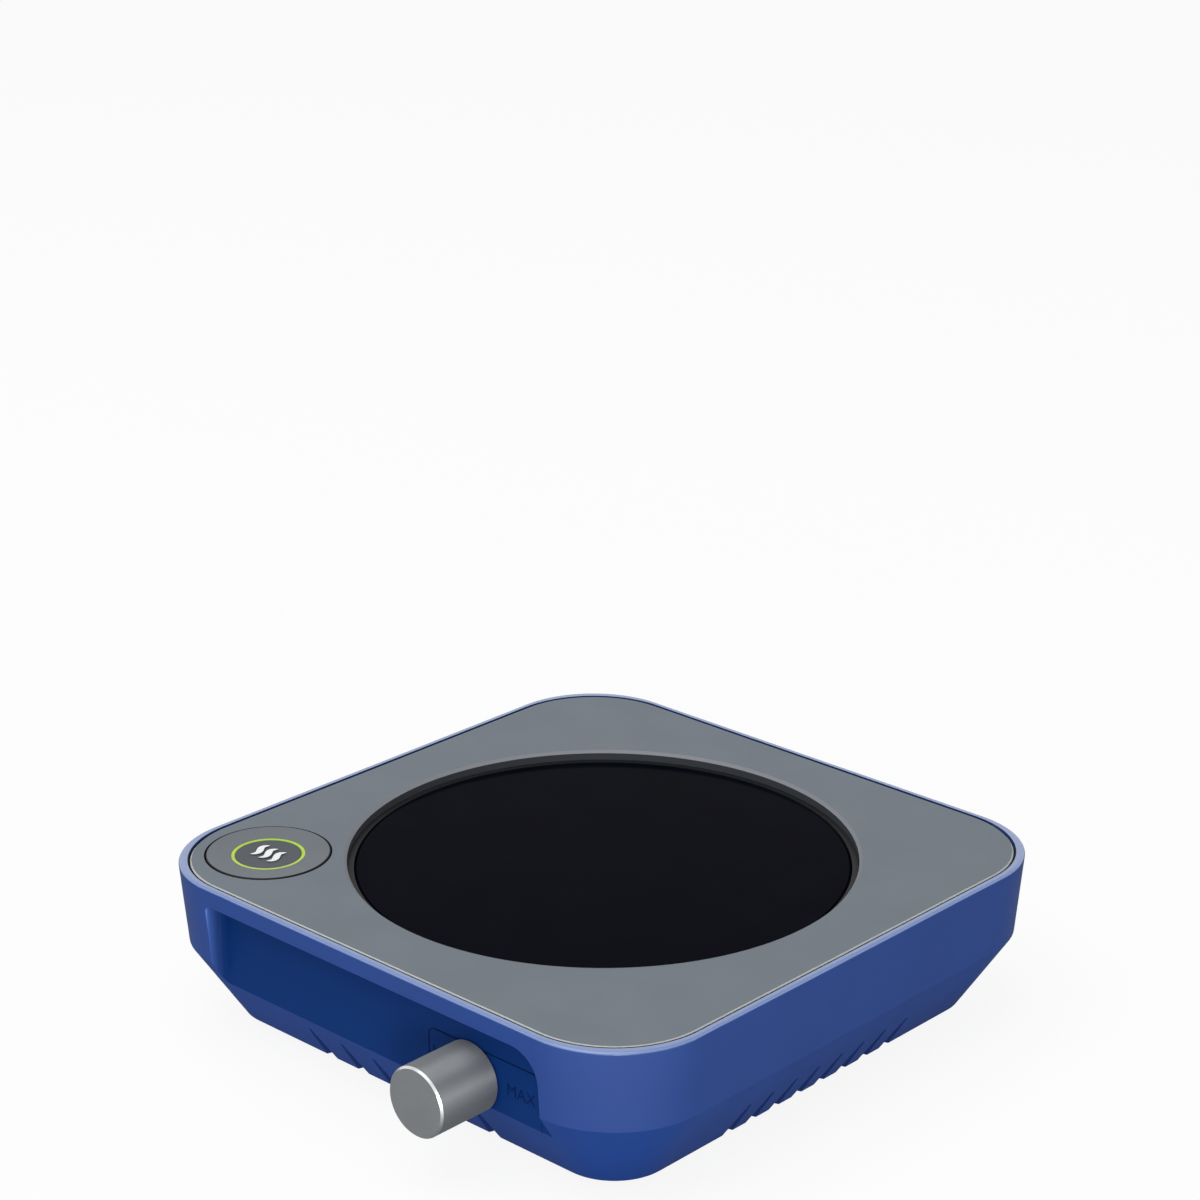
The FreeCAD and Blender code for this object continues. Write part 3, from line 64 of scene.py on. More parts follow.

# Painted shade on the slanted faces inside the louvres of the skirt
LOUVRE_REACH = 27.0 * MM
SKIRT_TOP = 9.0 * MM

# Limits of a surface normal along one axis, between one face of a piece and the next
FRONT_FACE = -0.97
BEND_FACE = 0.1
LOUVRE_SLANT = 0.08
LEVEL_FACE = 0.9
RIM_SLOPES = (0.2, 0.5)
SKIRT_SLOPES = (-0.1, -0.3)
UPRIGHT_FACE = 0.1
BUTTON_FACE = 0.8
KNOB_SIDE = -0.25
KNOB_FACE = -0.93

# Gloss of the case where it is smooth and where it is matt
CASE_GLOSS = 0.5
MATT_GLOSS = 0.04
SKIRT_MATT = 0.9
COAT_ROUGHNESS = 0.15

# Metal of the speed knob, with the marks of turning on its side
KNOB_METAL_SHARE = 0.6
KNOB_ROUGHNESS = 0.6
KNOB_EDGE_ROUGHNESS = 0.3
TURNED_SHARE = 0.9
QUARTER_TURN = 0.25

# Words beside the speed knob
WORD_HEIGHT = 2.1 * MM
WORD_RISE = 0.03 * MM
CAPITAL_SHARE = 0.7
MAX_PLACE = (7.8 * MM, 0.3 * MM)
MIN_PLACE = (-9.2 * MM, 1.0 * MM)

# Floor and light
FLOOR_SIZE = 6.0
FLOOR_GLOW = 0.9
MIRRORED_FLOOR_LEVELS = (0.22, 1.0)
MIRRORED_FLOOR_REACH = (0.1, 0.15)
LIGHT_TARGET = Vector((0, 0, 0.02))
TOP_LIGHT_PLACE = Vector((-0.05, -0.4, 1.2))
TOP_LIGHT_SIZE = 1.2
TOP_LIGHT_POWER = 10.0
FRONT_LIGHT_PLACE = Vector((0.62, -0.62, 0.1))
FRONT_LIGHT_SIZE = 0.2
FRONT_LIGHT_POWER = 2.2
SKY_COLOUR = (0.96, 0.98, 1.0, 1)
SKY_STRENGTH = 0.42
SKY_LEVELS = ((0.5, 1.0), (0.72, 1.0), (0.85, 0.4))
SKY_BOTTOM = (0.4, (0.7, 0.7, 0.7, 1))
SKY_TOP = (1.0, (0.25, 0.26, 0.28, 1))

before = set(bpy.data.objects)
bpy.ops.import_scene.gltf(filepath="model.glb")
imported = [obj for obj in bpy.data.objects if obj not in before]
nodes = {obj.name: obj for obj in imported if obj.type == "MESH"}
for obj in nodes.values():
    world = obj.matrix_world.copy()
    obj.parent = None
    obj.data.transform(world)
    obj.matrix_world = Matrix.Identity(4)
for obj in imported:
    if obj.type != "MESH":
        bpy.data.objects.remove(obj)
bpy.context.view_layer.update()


def screen(red, green, blue):
    """Linear colour from screen values between 0 and 255."""
    def channel(value):
        share = value / 255
        return share / 12.92 if share <= 0.04045 else ((share + 0.055) / 1.055) ** 2.4
    return channel(red), channel(green), channel(blue), 1.0


CASE_COLOUR = screen(30, 70, 147)
# Painted highlight on the rim's upward faces
RIM_HIGHLIGHT_COLOUR = screen(118, 140, 190)
# Painted shade on the recess face, and a painted highlight on its curved end
RECESS_SHADE_COLOUR = screen(16, 54, 117)
BEND_HIGHLIGHT_COLOUR = screen(84, 122, 205)
# Painted shade inside the louvres
LOUVRE_SHADE_COLOUR = screen(20, 54, 122)
# Painted shade along the seam and on the button's sides
SEAM_SHADE_COLOUR = screen(14, 16, 20)
PANEL_COLOUR = screen(115, 123, 131)
# Painted highlights on the panel's pale edge and bevels, painted shade on its upright sides
EDGE_HIGHLIGHT_COLOUR = screen(206, 209, 200)
SIDE_SHADE_COLOUR = screen(60, 64, 70)
BEVEL_HIGHLIGHT_COLOUR = screen(136, 137, 143)
BUTTON_COLOUR = screen(108, 114, 120)
KNOB_COLOUR = screen(146, 149, 151)
KNOB_EDGE_COLOUR = screen(228, 230, 232)
MARK_COLOUR = screen(252, 253, 254)
# Painted shadow round the heat marks
MARK_SHADOW_COLOUR = screen(44, 47, 52)
WORD_COLOUR = screen(9, 33, 88)
FLOOR_COLOUR = screen(231, 231, 231)
SEEN_FLOOR_COLOUR = (0.92, 0.92, 0.92, 1)


def add_node(tree, kind, **inputs):
    """New shader node with some of its inputs set."""
    made = tree.nodes.new(kind)
    for key, value in inputs.items():
        made.inputs[key].default_value = value
    return made


class Finish:
    """A procedural material and the nodes that are added to it."""

    def __init__(self, name, colour, roughness, metallic=0.0, specular=0.5):
        self.material = bpy.data.materials.new(name)
        self.material.use_nodes = True
        self.tree = self.material.node_tree
        self.shader = self.tree.nodes["Principled BSDF"]
        self.colour = colour
        self.roughness = roughness
        self.shader.inputs["Base Color"].default_value = colour
        self.shader.inputs["Roughness"].default_value = roughness
        self.shader.inputs["Metallic"].default_value = metallic
        self.shader.inputs["Specular IOR Level"].default_value = specular

    def node(self, kind, **inputs):
        """New node of this material with some of its inputs set."""
        return add_node(self.tree, kind, **inputs)

    def link(self, output, target):
        """Lead the output of one node to the input of another."""
        self.tree.links.new(output, target)

    def place(self, stretch=(1, 1, 1)):
        """Coordinates on the object, stretched along its axes."""
        coordinates = self.node("ShaderNodeTexCoord")
        mapping = self.node("ShaderNodeMapping", Scale=stretch)
        self.link(coordinates.outputs["Object"], mapping.inputs["Vector"])
        return mapping.outputs["Vector"]

    def noise(self, size, detail=3.0, stretch=(1, 1, 1)):
        """Noise whose spots are about as large as a size."""
        made = self.node("ShaderNodeTexNoise", Scale=1 / size, Detail=detail)
        self.link(self.place(stretch), made.inputs["Vector"])
        return made.outputs["Fac"]

    def ramp(self, value, low, high, start=0.35, end=0.65):
        """Colour that runs from one to another with a value."""
        made = self.node("ShaderNodeValToRGB")
        made.color_ramp.elements[0].position = start
        made.color_ramp.elements[0].color = low
        made.color_ramp.elements[1].position = end
        made.color_ramp.elements[1].color = high
        self.link(value, made.inputs["Fac"])
        return made.outputs["Color"]

    def math(self, operation, first, second=0.0):
        """Result of a calculation with numbers or the outputs of other nodes."""
        made = self.node("ShaderNodeMath")
        made.operation = operation
        for number, value in enumerate((first, second)):
            if isinstance(value, float):
                made.inputs[number].default_value = value
            else:
                self.link(value, made.inputs[number])
        return made.outputs["Value"]

    def axes(self, output):
        """X, Y and Z of the position or the normal of the surface."""
        geometry = self.node("ShaderNodeNewGeometry")
        split = self.node("ShaderNodeSeparateXYZ")
        self.link(geometry.outputs[output], split.inputs["Vector"])
        return split.outputs

    def panel_distance(self):
        """Distance outside the outline of the top panel, seen from above."""
        low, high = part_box("top_panel")
        middle = (low + high) / 2
        straight = (high.x - low.x) / 2 - PANEL_CORNER
        place = self.axes("Position")
        corner = self.node("ShaderNodeCombineXYZ")
        for axis, centre in (("X", middle.x), ("Y", middle.y)):
            offset = self.unsigned(self.math("SUBTRACT", place[axis], centre))
            past = self.math("MAXIMUM", self.math("SUBTRACT", offset, straight))
            self.link(past, corner.inputs[axis])
        length = self.node("ShaderNodeVectorMath")
        length.operation = "LENGTH"
        self.link(corner.outputs["Vector"], length.inputs["Vector"])
        return self.math("SUBTRACT", length.outputs["Value"], PANEL_CORNER)

    def paint(self, share, colour):
        """Lay a colour over the tone so far, as strong as a share from 0 to 1."""
        target = self.shader.inputs["Base Color"]
        mix = self.node("ShaderNodeMixRGB", Color2=colour)
        self.link(share, mix.inputs["Fac"])
        self.link(target.links[0].from_socket, mix.inputs["Color1"])
        self.link(mix.outputs["Color"], target)

    def unsigned(self, value):
        """A value without its sign."""
        return self.math("ABSOLUTE", value)

    def spread(self, value, low, high, start=0.0, end=1.0):
        """Number that runs from start to end while a value goes from low to high."""
        made = self.node("ShaderNodeMapRange")
        for name, number in (("From Min", low), ("From Max", high), ("To Min", start), ("To Max", end)):
            made.inputs[name].default_value = number
        self.link(value, made.inputs["Value"])
        return made.outputs["Result"]

    def vary(self, name, share, start, end):
        """Let a value of the shader run from one number to another with a share."""
        self.link(self.spread(share, 0.0, 1.0, start, end), self.shader.inputs[name])

    def mottle(self, size, amount):
        """Slight change of tone over the surface."""
        low = tuple(channel * (1 - amount) for channel in self.colour[:3]) + (1.0,)
        high = tuple(min(1.0, channel * (1 + amount)) for channel in self.colour[:3]) + (1.0,)
        self.link(self.ramp(self.noise(size), low, high), self.shader.inputs["Base Color"])
        return self

    def sheen_change(self, size, amount, stretch=(1, 1, 1)):
        """Slight change of roughness over the surface."""
        noise = self.noise(size, 4.0, stretch)
        self.vary("Roughness", noise, self.roughness - amount, self.roughness + amount)
        return self

    def grain(self, size, depth, strength=0.5, stretch=(1, 1, 1)):
        """Fine relief of a moulded, cast or brushed surface."""
        bump = self.node("ShaderNodeBump", Strength=strength, Distance=depth)
        self.link(self.noise(size, 2.0, stretch), bump.inputs["Height"])
        self.link(bump.outputs["Normal"], self.shader.inputs["Normal"])
        return self

    def moulding(self, grain_size=0.25 * MM, depth=0.012 * MM):
        """Even surface of a moulded part with a spark eroded grain."""
        return self.mottle(14 * MM, 0.03).sheen_change(6 * MM, 0.03).grain(grain_size, depth)


def moulded(name, colour, roughness, specular=0.5, grain_size=0.25 * MM, depth=0.012 * MM):
    """Moulded plastic or rubber."""
    return Finish(name, colour, roughness, specular=specular).moulding(grain_size, depth).material


def metal(name, colour, roughness, stretch=(1, 1, 1), grain_size=0.12 * MM, depth=0.006 * MM):
    """Metal with a fine grain, brushed where it is stretched."""
    finish = Finish(name, colour, roughness, metallic=1.0)
    finish.mottle(5 * MM, 0.05).sheen_change(2 * MM, 0.05, stretch).grain(grain_size, depth, 0.4, stretch)
    return finish.material


def recess_shade_and_bend_light(finish, place, way):
    """Paint shade on the recess face, and a highlight on its curved end that fades into that shade, and
    return where the painted shade lies.
    """
    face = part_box("pot_washer")[1].y
    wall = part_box("case_shell")[0].y
    inside = finish.math("GREATER_THAN", place["Y"], face - RECESS_SHADE_MARGIN)
    flat = finish.math("MULTIPLY", inside, finish.math("LESS_THAN", way["Y"], FRONT_FACE))
    turned = finish.math("GREATER_THAN", way["X"], BEND_FACE)
    beside = finish.math("LESS_THAN", place["X"], RECESS_END + BEND_REACH)
    bend = finish.math("MULTIPLY", turned, beside)
    across = finish.spread(place["Y"], wall + BEND_START, face - BEND_STOP)
    recess_shade = finish.math("MAXIMUM", flat, finish.math("MULTIPLY", bend, across))
    # Painted highlight on the curved left end, then painted shade over the recess face and fading in
    # across that end
    finish.paint(bend, BEND_HIGHLIGHT_COLOUR)
    finish.paint(recess_shade, RECESS_SHADE_COLOUR)
    return recess_shade


def louvre_shade(finish, place, way):
    """Paint shade on the slanted faces inside the louvres of the skirt, in a darker tone."""
    slant = finish.math("MINIMUM", finish.unsigned(way["X"]), finish.unsigned(way["Y"]))
    slant = finish.math("GREATER_THAN", slant, LOUVRE_SLANT)
    middle = finish.math("MINIMUM", finish.unsigned(place["X"]), finish.unsigned(place["Y"]))
    middle = finish.math("LESS_THAN", middle, LOUVRE_REACH)
    beneath = finish.math("LESS_THAN", place["Z"], SKIRT_TOP)
    within = finish.math("MULTIPLY", middle, beneath)
    # Painted shade inside the louvres
    finish.paint(finish.math("MULTIPLY", slant, within), LOUVRE_SHADE_COLOUR)


def rim_highlight_and_seam_shade(finish, place, way):
    """Paint a highlight on the upward faces of the rim, which also get a clear coat, and shade on the
    seam inside it, and return where the painted seam shade is.
    """
    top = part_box("case_shell")[1].z
    rim = finish.math("GREATER_THAN", place["Z"], top - RIM_DEPTH)
    level = finish.math("GREATER_THAN", way["Z"], LEVEL_FACE)
    # Painted shade on the level faces of the rim top next to the seam
    seam_shade = finish.math("LESS_THAN", finish.panel_distance(), SEAM_SHADE_REACH)
    seam_shade = finish.math("MULTIPLY", seam_shade, level)
    upward = finish.math("MULTIPLY", rim, finish.spread(way["Z"], *RIM_SLOPES))
    upward = finish.math("MULTIPLY", upward, finish.math("SUBTRACT", 1.0, seam_shade))
    # Painted highlight on the rim's upward faces, then painted shade on the rim top along the seam
    finish.paint(upward, RIM_HIGHLIGHT_COLOUR)
    finish.paint(seam_shade, SEAM_SHADE_COLOUR)
    finish.vary("Coat Weight", upward, 0.0, 1.0)
    finish.shader.inputs["Coat Roughness"].default_value = COAT_ROUGHNESS
    return seam_shade


def case_plastic():
    """Blue plastic with painted shade in the recess, seam and louvres and a painted highlight on the rim;
    matt on the recess face, in the seam and on the skirt.
    """
    finish = Finish("case_plastic", CASE_COLOUR, 0.42).moulding()
    place = finish.axes("Position")
    way = finish.axes("Normal")
    recess_shade = recess_shade_and_bend_light(finish, place, way)
    louvre_shade(finish, place, way)
    seam_shade = rim_highlight_and_seam_shade(finish, place, way)
    skirt = finish.spread(way["Z"], *SKIRT_SLOPES, 0.0, SKIRT_MATT)
    matt = finish.math("MAXIMUM", finish.math("MAXIMUM", recess_shade, seam_shade), skirt)
    finish.vary("Specular IOR Level", matt, CASE_GLOSS, MATT_GLOSS)
    return finish.material


def panel_plastic():
    """Matt grey panel with painted highlights on its pale edge and its bevels, and painted shade on its
    upright sides.
    """
    finish = Finish("panel_plastic", PANEL_COLOUR, 0.62, specular=0.3).moulding()
    rise = finish.axes("True Normal")["Z"]
    # Painted highlight on the bevels, then on the pale outer edge, then painted shade on the upright
    # sides
    finish.paint(finish.math("LESS_THAN", rise, LEVEL_FACE), BEVEL_HIGHLIGHT_COLOUR)
    edge = finish.math("GREATER_THAN", finish.panel_distance(), -EDGE_HIGHLIGHT_WIDTH)
    finish.paint(edge, EDGE_HIGHLIGHT_COLOUR)
    finish.paint(finish.math("LESS_THAN", rise, UPRIGHT_FACE), SIDE_SHADE_COLOUR)
    return finish.material


def button_plastic():
    """Grey button top with painted shade on its sides."""
    finish = Finish("button_plastic", BUTTON_COLOUR, 0.5, specular=0.35).moulding()
    rise = finish.axes("True Normal")["Z"]
    # Painted shade on the button's sides, in the gap round it
    finish.paint(finish.math("LESS_THAN", rise, BUTTON_FACE), SEAM_SHADE_COLOUR)
    return finish.material


def enamel():
    """Glossy black enamel of the hot plate."""
    finish = Finish("black_enamel", screen(8, 9, 18), 0.12, specular=0.004)
    finish.mottle(9 * MM, 0.12).sheen_change(7 * MM, 0.03).grain(1.4 * MM, 0.004 * MM, 0.3)
    return finish.material


def satin_aluminium():
    """Aluminium of the knob: finely turned side, blasted front and a bright cut edge."""
    finish = Finish("satin_aluminium", KNOB_COLOUR, KNOB_ROUGHNESS)
    finish.mottle(5 * MM, 0.03).grain(0.12 * MM, 0.006 * MM, 0.3)
    way = finish.axes("Normal")["Y"]
    side = finish.math("GREATER_THAN", way, KNOB_SIDE)
    edge = finish.math("SUBTRACT", finish.math("GREATER_THAN", way, KNOB_FACE), side)
    finish.paint(edge, KNOB_EDGE_COLOUR)
    finish.vary("Metallic", edge, KNOB_METAL_SHARE, 1.0)
    finish.vary("Roughness", edge, KNOB_ROUGHNESS, KNOB_EDGE_ROUGHNESS)
    finish.vary("Anisotropic", side, 0.0, TURNED_SHARE)
    around = finish.node("ShaderNodeTangent")
    around.direction_type = "RADIAL"
    around.axis = "Y"
    finish.link(around.outputs["Tangent"], finish.shader.inputs["Tangent"])
    finish.shader.inputs["Anisotropic Rotation"].default_value = QUARTER_TURN
    return finish.material


def circuit_board():
    """Green solder resist over a pattern of copper tracks."""
    finish = Finish("circuit_board", screen(24, 96, 58), 0.35)
    tracks = finish.node("ShaderNodeTexBrick", Scale=160.0)
    tracks.inputs["Mortar Size"].default_value = 0.06
    tracks.inputs["Color1"].default_value = screen(22, 88, 52)
    tracks.inputs["Color2"].default_value = screen(26, 102, 60)
    tracks.inputs["Mortar"].default_value = screen(58, 140, 80)
    finish.link(finish.place(), tracks.inputs["Vector"])
    finish.link(tracks.outputs["Color"], finish.shader.inputs["Base Color"])
    finish.sheen_change(3 * MM, 0.05).grain(0.6 * MM, 0.01 * MM)
    return finish.material


def mineral_board():
    """Pressed mineral fibre with loose strands."""
    finish = Finish("mineral_fibre", screen(214, 206, 190), 0.9, specular=0.2)
    finish.mottle(1.2 * MM, 0.15).grain(0.35 * MM, 0.08 * MM, 0.8, (1, 4, 1))
    return finish.material


def heating_foil():
    """Orange film with the dark winding of the heater under it."""
    finish = Finish("heating_foil", screen(196, 104, 34), 0.3)
    rings = finish.node("ShaderNodeTexWave", Scale=220.0, Distortion=0.4)
    rings.wave_type = "RINGS"
    rings.rings_direction = "Z"
    finish.link(finish.place(), rings.inputs["Vector"])
    winding = finish.ramp(rings.outputs["Fac"], screen(120, 58, 26), screen(204, 112, 40), 0.4, 0.5)
    finish.link(winding, finish.shader.inputs["Base Color"])
    finish.sheen_change(2 * MM, 0.05).grain(0.8 * MM, 0.02 * MM)
    return finish.material


def clear_plastic(name, colour, glow):
    """Clear coloured plastic that is lit from behind."""
    finish = Finish(name, colour, 0.3)
    finish.mottle(1.5 * MM, 0.06).grain(0.3 * MM, 0.01 * MM)
    finish.shader.inputs["Transmission Weight"].default_value = 0.2
    finish.shader.inputs["Emission Color"].default_value = colour
    finish.shader.inputs["Emission Strength"].default_value = glow
    return finish.material


def slot_finishes():
    """One finish for each material slot of the record."""
    return {
        "case_blue": case_plastic(),
        "panel_grey": panel_plastic(),
        "plate_black": enamel(),
        "seal_black": moulded("seal_rubber", screen(22, 23, 26), 0.55, 0.3),
        "foot_black": moulded("foot_rubber", screen(30, 30, 32), 0.75, 0.3, 0.5 * MM, 0.03 * MM),
        "cover_dark": moulded("cover_plastic", screen(46, 50, 58), 0.6),
        "heater_orange": heating_foil(),
        "mineral_board": mineral_board(),
        "sheet_steel": metal("sheet_steel", screen(176, 178, 180), 0.36, (1, 9, 1)),
        "screw_steel": metal("screw_steel", screen(150, 152, 156), 0.32),
        "bearing_steel": metal("bearing_steel", screen(196, 198, 202), 0.18),
        "magnet_nickel": metal("magnet_nickel", screen(206, 204, 198), 0.16),
        "motor_can": metal("motor_can", screen(168, 170, 174), 0.3, (1, 1, 7)),
        "knob_aluminium": satin_aluminium(),
        "heat_sink_black": metal("heat_sink_black", screen(38, 38, 42), 0.45),
        "board_green": circuit_board(),
        "black_plastic": moulded("black_plastic", screen(28, 29, 32), 0.45),
        "connector_white": moulded("connector_nylon", screen(226, 222, 208), 0.5),
        "capacitor_sleeve": moulded("capacitor_sleeve", screen(34, 38, 62), 0.3),
        "lamp_clear": clear_plastic("lamp_plastic", screen(222, 232, 200), 0.3),
        "ring_green": clear_plastic("ring_plastic", screen(168, 200, 44), 0.25),
        "button_grey": button_plastic(),
        "button_dark": moulded("button_centre_plastic", screen(74, 78, 84), 0.48, 0.35),
        "sensor_steel": metal("sensor_steel", screen(190, 190, 188), 0.25),
        "brass_nut": metal("brass", screen(196, 164, 96), 0.28),
        "lead_red": moulded("lead_red", screen(170, 32, 30), 0.45),
        "lead_black": moulded("lead_black", screen(26, 26, 28), 0.45),
        "lead_white": moulded("lead_white", screen(220, 218, 212), 0.45),
        "lead_grey": moulded("lead_grey", screen(110, 112, 116), 0.45),
    }


def dress_nodes():
    """Give each CAD node the finish of its slot."""
    finishes = slot_finishes()
    for node in nodes.values():
        slot = node.material_slots[0].material.name
        node.data.materials.clear()
        node.data.materials.append(finishes[slot])


def add_mesh(name, mesh, finish, body, place=(0, 0, 0), turn=(0, 0, 0)):
    """Put a finished mesh into the scene as a piece that rides on a body."""
    piece = bpy.data.objects.new(name, mesh)
    bpy.context.scene.collection.objects.link(piece)
    mesh.materials.append(finish)
    piece.location = place
    piece.rotation_euler = turn
    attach(piece, body)


def wave_outline(grow):
    """Closed outline of one heat mark round its own centre, grown by a margin."""
    left = []
    right = []
    for step in range(MARK_STEPS + 1):
        share = step / MARK_STEPS
        middle = Vector((MARK_SWING * math.sin(2 * math.pi * share), MARK_HEIGHT * (share - 0.5), 0))
        slope = 2 * math.pi * MARK_SWING / MARK_HEIGHT * math.cos(2 * math.pi * share)
        across = Vector((1, -slope, 0)).normalized()
        half = MARK_WIDTH / 2 * math.sin(math.pi * share) ** MARK_TAPER + grow
        left.append(middle - across * half)
        right.append(middle + across * half)
    return left + right[::-1]


def wave_mesh(name, centre, grow, top, bottom):
    """Thin plate in the outline of a heat mark."""
    form = bmesh.new()
    outline = [centre + point for point in wave_outline(grow)]
    upper = [form.verts.new((point.x, point.y, top)) for point in outline]
    lower = [form.verts.new((point.x, point.y, bottom)) for point in outline]
    count = len(outline)
    for step in range(MARK_STEPS):
        far = count - 1 - step
        form.faces.new((upper[step], upper[far], upper[far - 1], upper[step + 1]))
        form.faces.new((lower[step], lower[step + 1], lower[far - 1], lower[far]))
    for step in range(count):
        follower = (step + 1) % count
        form.faces.new((upper[step], upper[follower], lower[follower], lower[step]))
    bmesh.ops.remove_doubles(form, verts=form.verts, dist=WELD_REACH)
    bmesh.ops.recalc_face_normals(form, faces=form.faces)
    mesh = bpy.data.meshes.new(name)
    form.to_mesh(mesh)
    form.free()
    return mesh


def heat_marks():
    """Three printed heat waves on the centre disc of the button, each with a dark painted shadow round
    it.
    """
    white = moulded("mark_white", MARK_COLOUR, 0.5)
    dark = moulded("mark_painted_shadow", MARK_SHADOW_COLOUR, 0.6)
    low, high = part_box("button_centre")
    middle = (low + high) / 2 + MARK_SHIFT
    surface = high.z
    under = surface - MARK_DEPTH
    for number in range(MARK_COUNT):
        centre = middle + Vector(((number - (MARK_COUNT - 1) / 2) * MARK_SPACING, 0, 0))
        # Dark plate under each mark, as a painted shadow round it
        edge = wave_mesh("heat_mark_edge", centre, MARK_SHADOW_WIDTH, surface, under)
        add_mesh("heat_mark_edge_%d" % (number + 1), edge, dark, "heat_button")
        mark = wave_mesh("heat_mark", centre, 0, surface + MARK_RISE, under)
        add_mesh("heat_mark_%d" % (number + 1), mark, white, "heat_button")


def printed_word(text, place, finish):
    """Word printed on a face that looks to the front."""
    curve = bpy.data.curves.new(text, "FONT")
    curve.body = text
    curve.size = WORD_HEIGHT / CAPITAL_SHARE
    curve.extrude = WORD_RISE
    curve.align_y = "CENTER"
    shape = bpy.data.objects.new(text, curve)
    bpy.context.scene.collection.objects.link(shape)
    mesh = bpy.data.meshes.new_from_object(shape)
    bpy.data.objects.remove(shape)
    add_mesh(text.lower() + "_word", mesh, finish, "case", place, (math.pi / 2, 0, 0))


def knob_words():
    """MIN and MAX on the recess face, tone on tone."""
    finish = moulded("word_ink", WORD_COLOUR, 0.6, 0.05)
    low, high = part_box("speed_knob")
    knob = (low + high) / 2
    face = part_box("pot_washer")[1].y
    for word, (right, up) in (("MIN", MIN_PLACE), ("MAX", MAX_PLACE)):
        printed_word(word, (knob.x + right, face, knob.z + up), finish)


def floor_finish():
    """Pale floor, white to the camera with a soft shadow, mirrored brightest on the camera's side."""
    finish = Finish("floor_white", FLOOR_COLOUR, 0.9, specular=0.0)
    path = finish.node("ShaderNodeLightPath")
    place = finish.axes("Position")
    ahead = finish.math("SUBTRACT", place["X"], place["Y"])

    glossy = finish.node("ShaderNodeEmission")
    level = finish.spread(ahead, *MIRRORED_FLOOR_REACH, *MIRRORED_FLOOR_LEVELS)
    finish.link(level, glossy.inputs["Strength"])
    shiny = finish.node("ShaderNodeMixShader")
    finish.link(path.outputs["Is Glossy Ray"], shiny.inputs["Fac"])
    finish.link(finish.shader.outputs["BSDF"], shiny.inputs[1])
    finish.link(glossy.outputs["Emission"], shiny.inputs[2])

    white = finish.node("ShaderNodeEmission")
    pale = finish.node("ShaderNodeBsdfDiffuse", Color=SEEN_FLOOR_COLOUR)
    seen = finish.node("ShaderNodeMixShader", Fac=FLOOR_GLOW)
    finish.link(pale.outputs["BSDF"], seen.inputs[1])
    finish.link(white.outputs["Emission"], seen.inputs[2])
    whole = finish.node("ShaderNodeMixShader")
    finish.link(path.outputs["Is Camera Ray"], whole.inputs["Fac"])
    finish.link(shiny.outputs["Shader"], whole.inputs[1])
    finish.link(seen.outputs["Shader"], whole.inputs[2])
    finish.link(whole.outputs["Shader"], finish.tree.nodes["Material Output"].inputs["Surface"])
    return finish.material


def studio_floor():
    """Large flat floor under the feet."""
    bpy.ops.mesh.primitive_plane_add(size=FLOOR_SIZE, location=(0, 0, 0))
    floor = bpy.context.object
    floor.name = "studio_floor"
    floor.data.materials.append(floor_finish())


def mirrored_sky(tree):
    """Background that glossy surfaces show: bright near the horizon, darker above."""
    coordinates = add_node(tree, "ShaderNodeTexCoord")
    split = add_node(tree, "ShaderNodeSeparateXYZ")
    spread = add_node(tree, "ShaderNodeMapRange", **{"From Min": -1.0})
    ramp = add_node(tree, "ShaderNodeValToRGB")
    stops = ramp.color_ramp.elements
    stops[0].position, stops[0].color = SKY_BOTTOM
    stops[1].position, stops[1].color = SKY_TOP
    for position, level in SKY_LEVELS:
        stops.new(position).color = (level, level, level, 1)
    sky = add_node(tree, "ShaderNodeBackground")
    tree.links.new(coordinates.outputs["Generated"], split.inputs["Vector"])
    tree.links.new(split.outputs["Z"], spread.inputs["Value"])
    tree.links.new(spread.outputs["Result"], ramp.inputs["Fac"])
    tree.links.new(ramp.outputs["Color"], sky.inputs["Color"])
    return sky


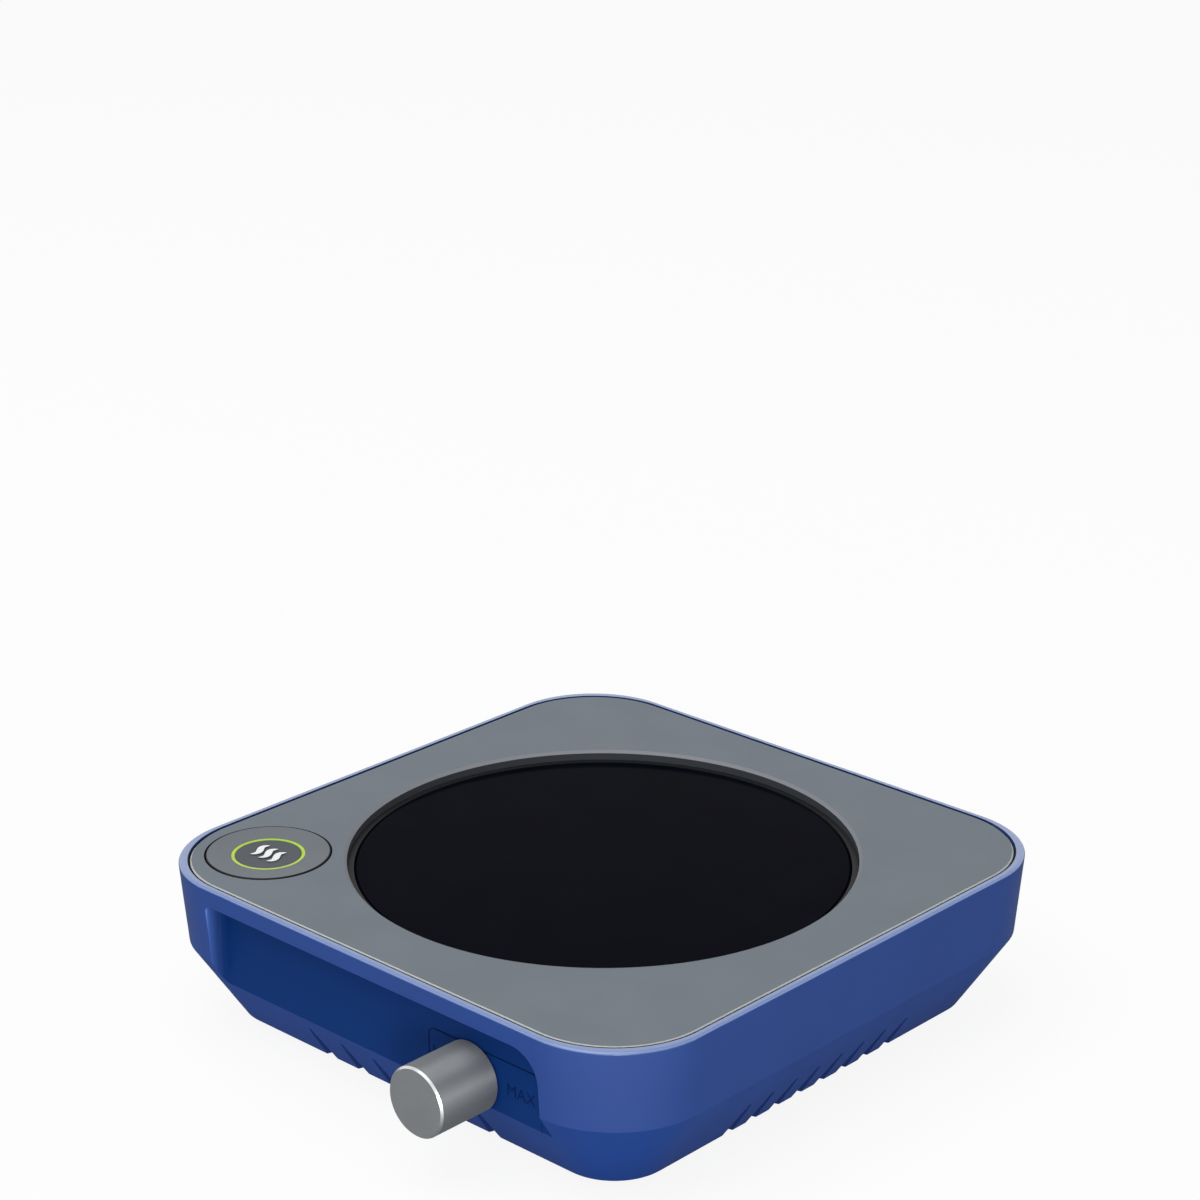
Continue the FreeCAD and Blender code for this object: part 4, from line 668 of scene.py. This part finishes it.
def studio_world():
    """Even light, a bright horizon in reflections, and white for the camera."""
    world = bpy.data.worlds.new("studio")
    bpy.context.scene.world = world
    world.use_nodes = True
    tree = world.node_tree
    tree.nodes.clear()
    output = add_node(tree, "ShaderNodeOutputWorld")
    even = add_node(tree, "ShaderNodeBackground", Color=SKY_COLOUR, Strength=SKY_STRENGTH)
    white = add_node(tree, "ShaderNodeBackground", Color=(1, 1, 1, 1))
    mirrored = mirrored_sky(tree)
    path = add_node(tree, "ShaderNodeLightPath")
    shiny = add_node(tree, "ShaderNodeMath")
    shiny.operation = "MAXIMUM"
    first = add_node(tree, "ShaderNodeMixShader")
    second = add_node(tree, "ShaderNodeMixShader")
    tree.links.new(path.outputs["Is Glossy Ray"], shiny.inputs[0])
    tree.links.new(path.outputs["Is Transmission Ray"], shiny.inputs[1])
    tree.links.new(shiny.outputs["Value"], first.inputs["Fac"])
    tree.links.new(even.outputs["Background"], first.inputs[1])
    tree.links.new(mirrored.outputs["Background"], first.inputs[2])
    tree.links.new(path.outputs["Is Camera Ray"], second.inputs["Fac"])
    tree.links.new(first.outputs["Shader"], second.inputs[1])
    tree.links.new(white.outputs["Background"], second.inputs[2])
    tree.links.new(second.outputs["Shader"], output.inputs["Surface"])


def look_at(thing, place, target):
    """Put a lamp or camera at a place, turned to a target."""
    thing.location = place
    thing.rotation_euler = (target - place).to_track_quat("-Z", "Y").to_euler()


def soft_light(name, place, size, power):
    """Square lamp that faces the object."""
    lamp = bpy.data.lights.new(name, "AREA")
    lamp.shape = "SQUARE"
    lamp.size = size
    lamp.energy = power
    holder = bpy.data.objects.new(name, lamp)
    bpy.context.scene.collection.objects.link(holder)
    look_at(holder, place, LIGHT_TARGET)


def studio_lights():
    """Wide light above and a low one beside the camera."""
    soft_light("top_light", TOP_LIGHT_PLACE, TOP_LIGHT_SIZE, TOP_LIGHT_POWER)
    soft_light("front_light", FRONT_LIGHT_PLACE, FRONT_LIGHT_SIZE, FRONT_LIGHT_POWER)


def add_camera():
    """Camera at the photograph's angle."""
    camera = bpy.data.cameras.new("camera")
    camera.lens = CAMERA_LENS
    camera.sensor_width = 36.0
    camera.clip_start = 0.01
    holder = bpy.data.objects.new("camera", camera)
    bpy.context.scene.collection.objects.link(holder)
    look_at(holder, CAMERA_PLACE, CAMERA_TARGET)
    bpy.context.scene.camera = holder


dress_nodes()
heat_marks()
knob_words()
studio_floor()
studio_world()
studio_lights()
add_camera()

bpy.context.scene.view_settings.view_transform = "Standard"

bpy.context.view_layer.update()
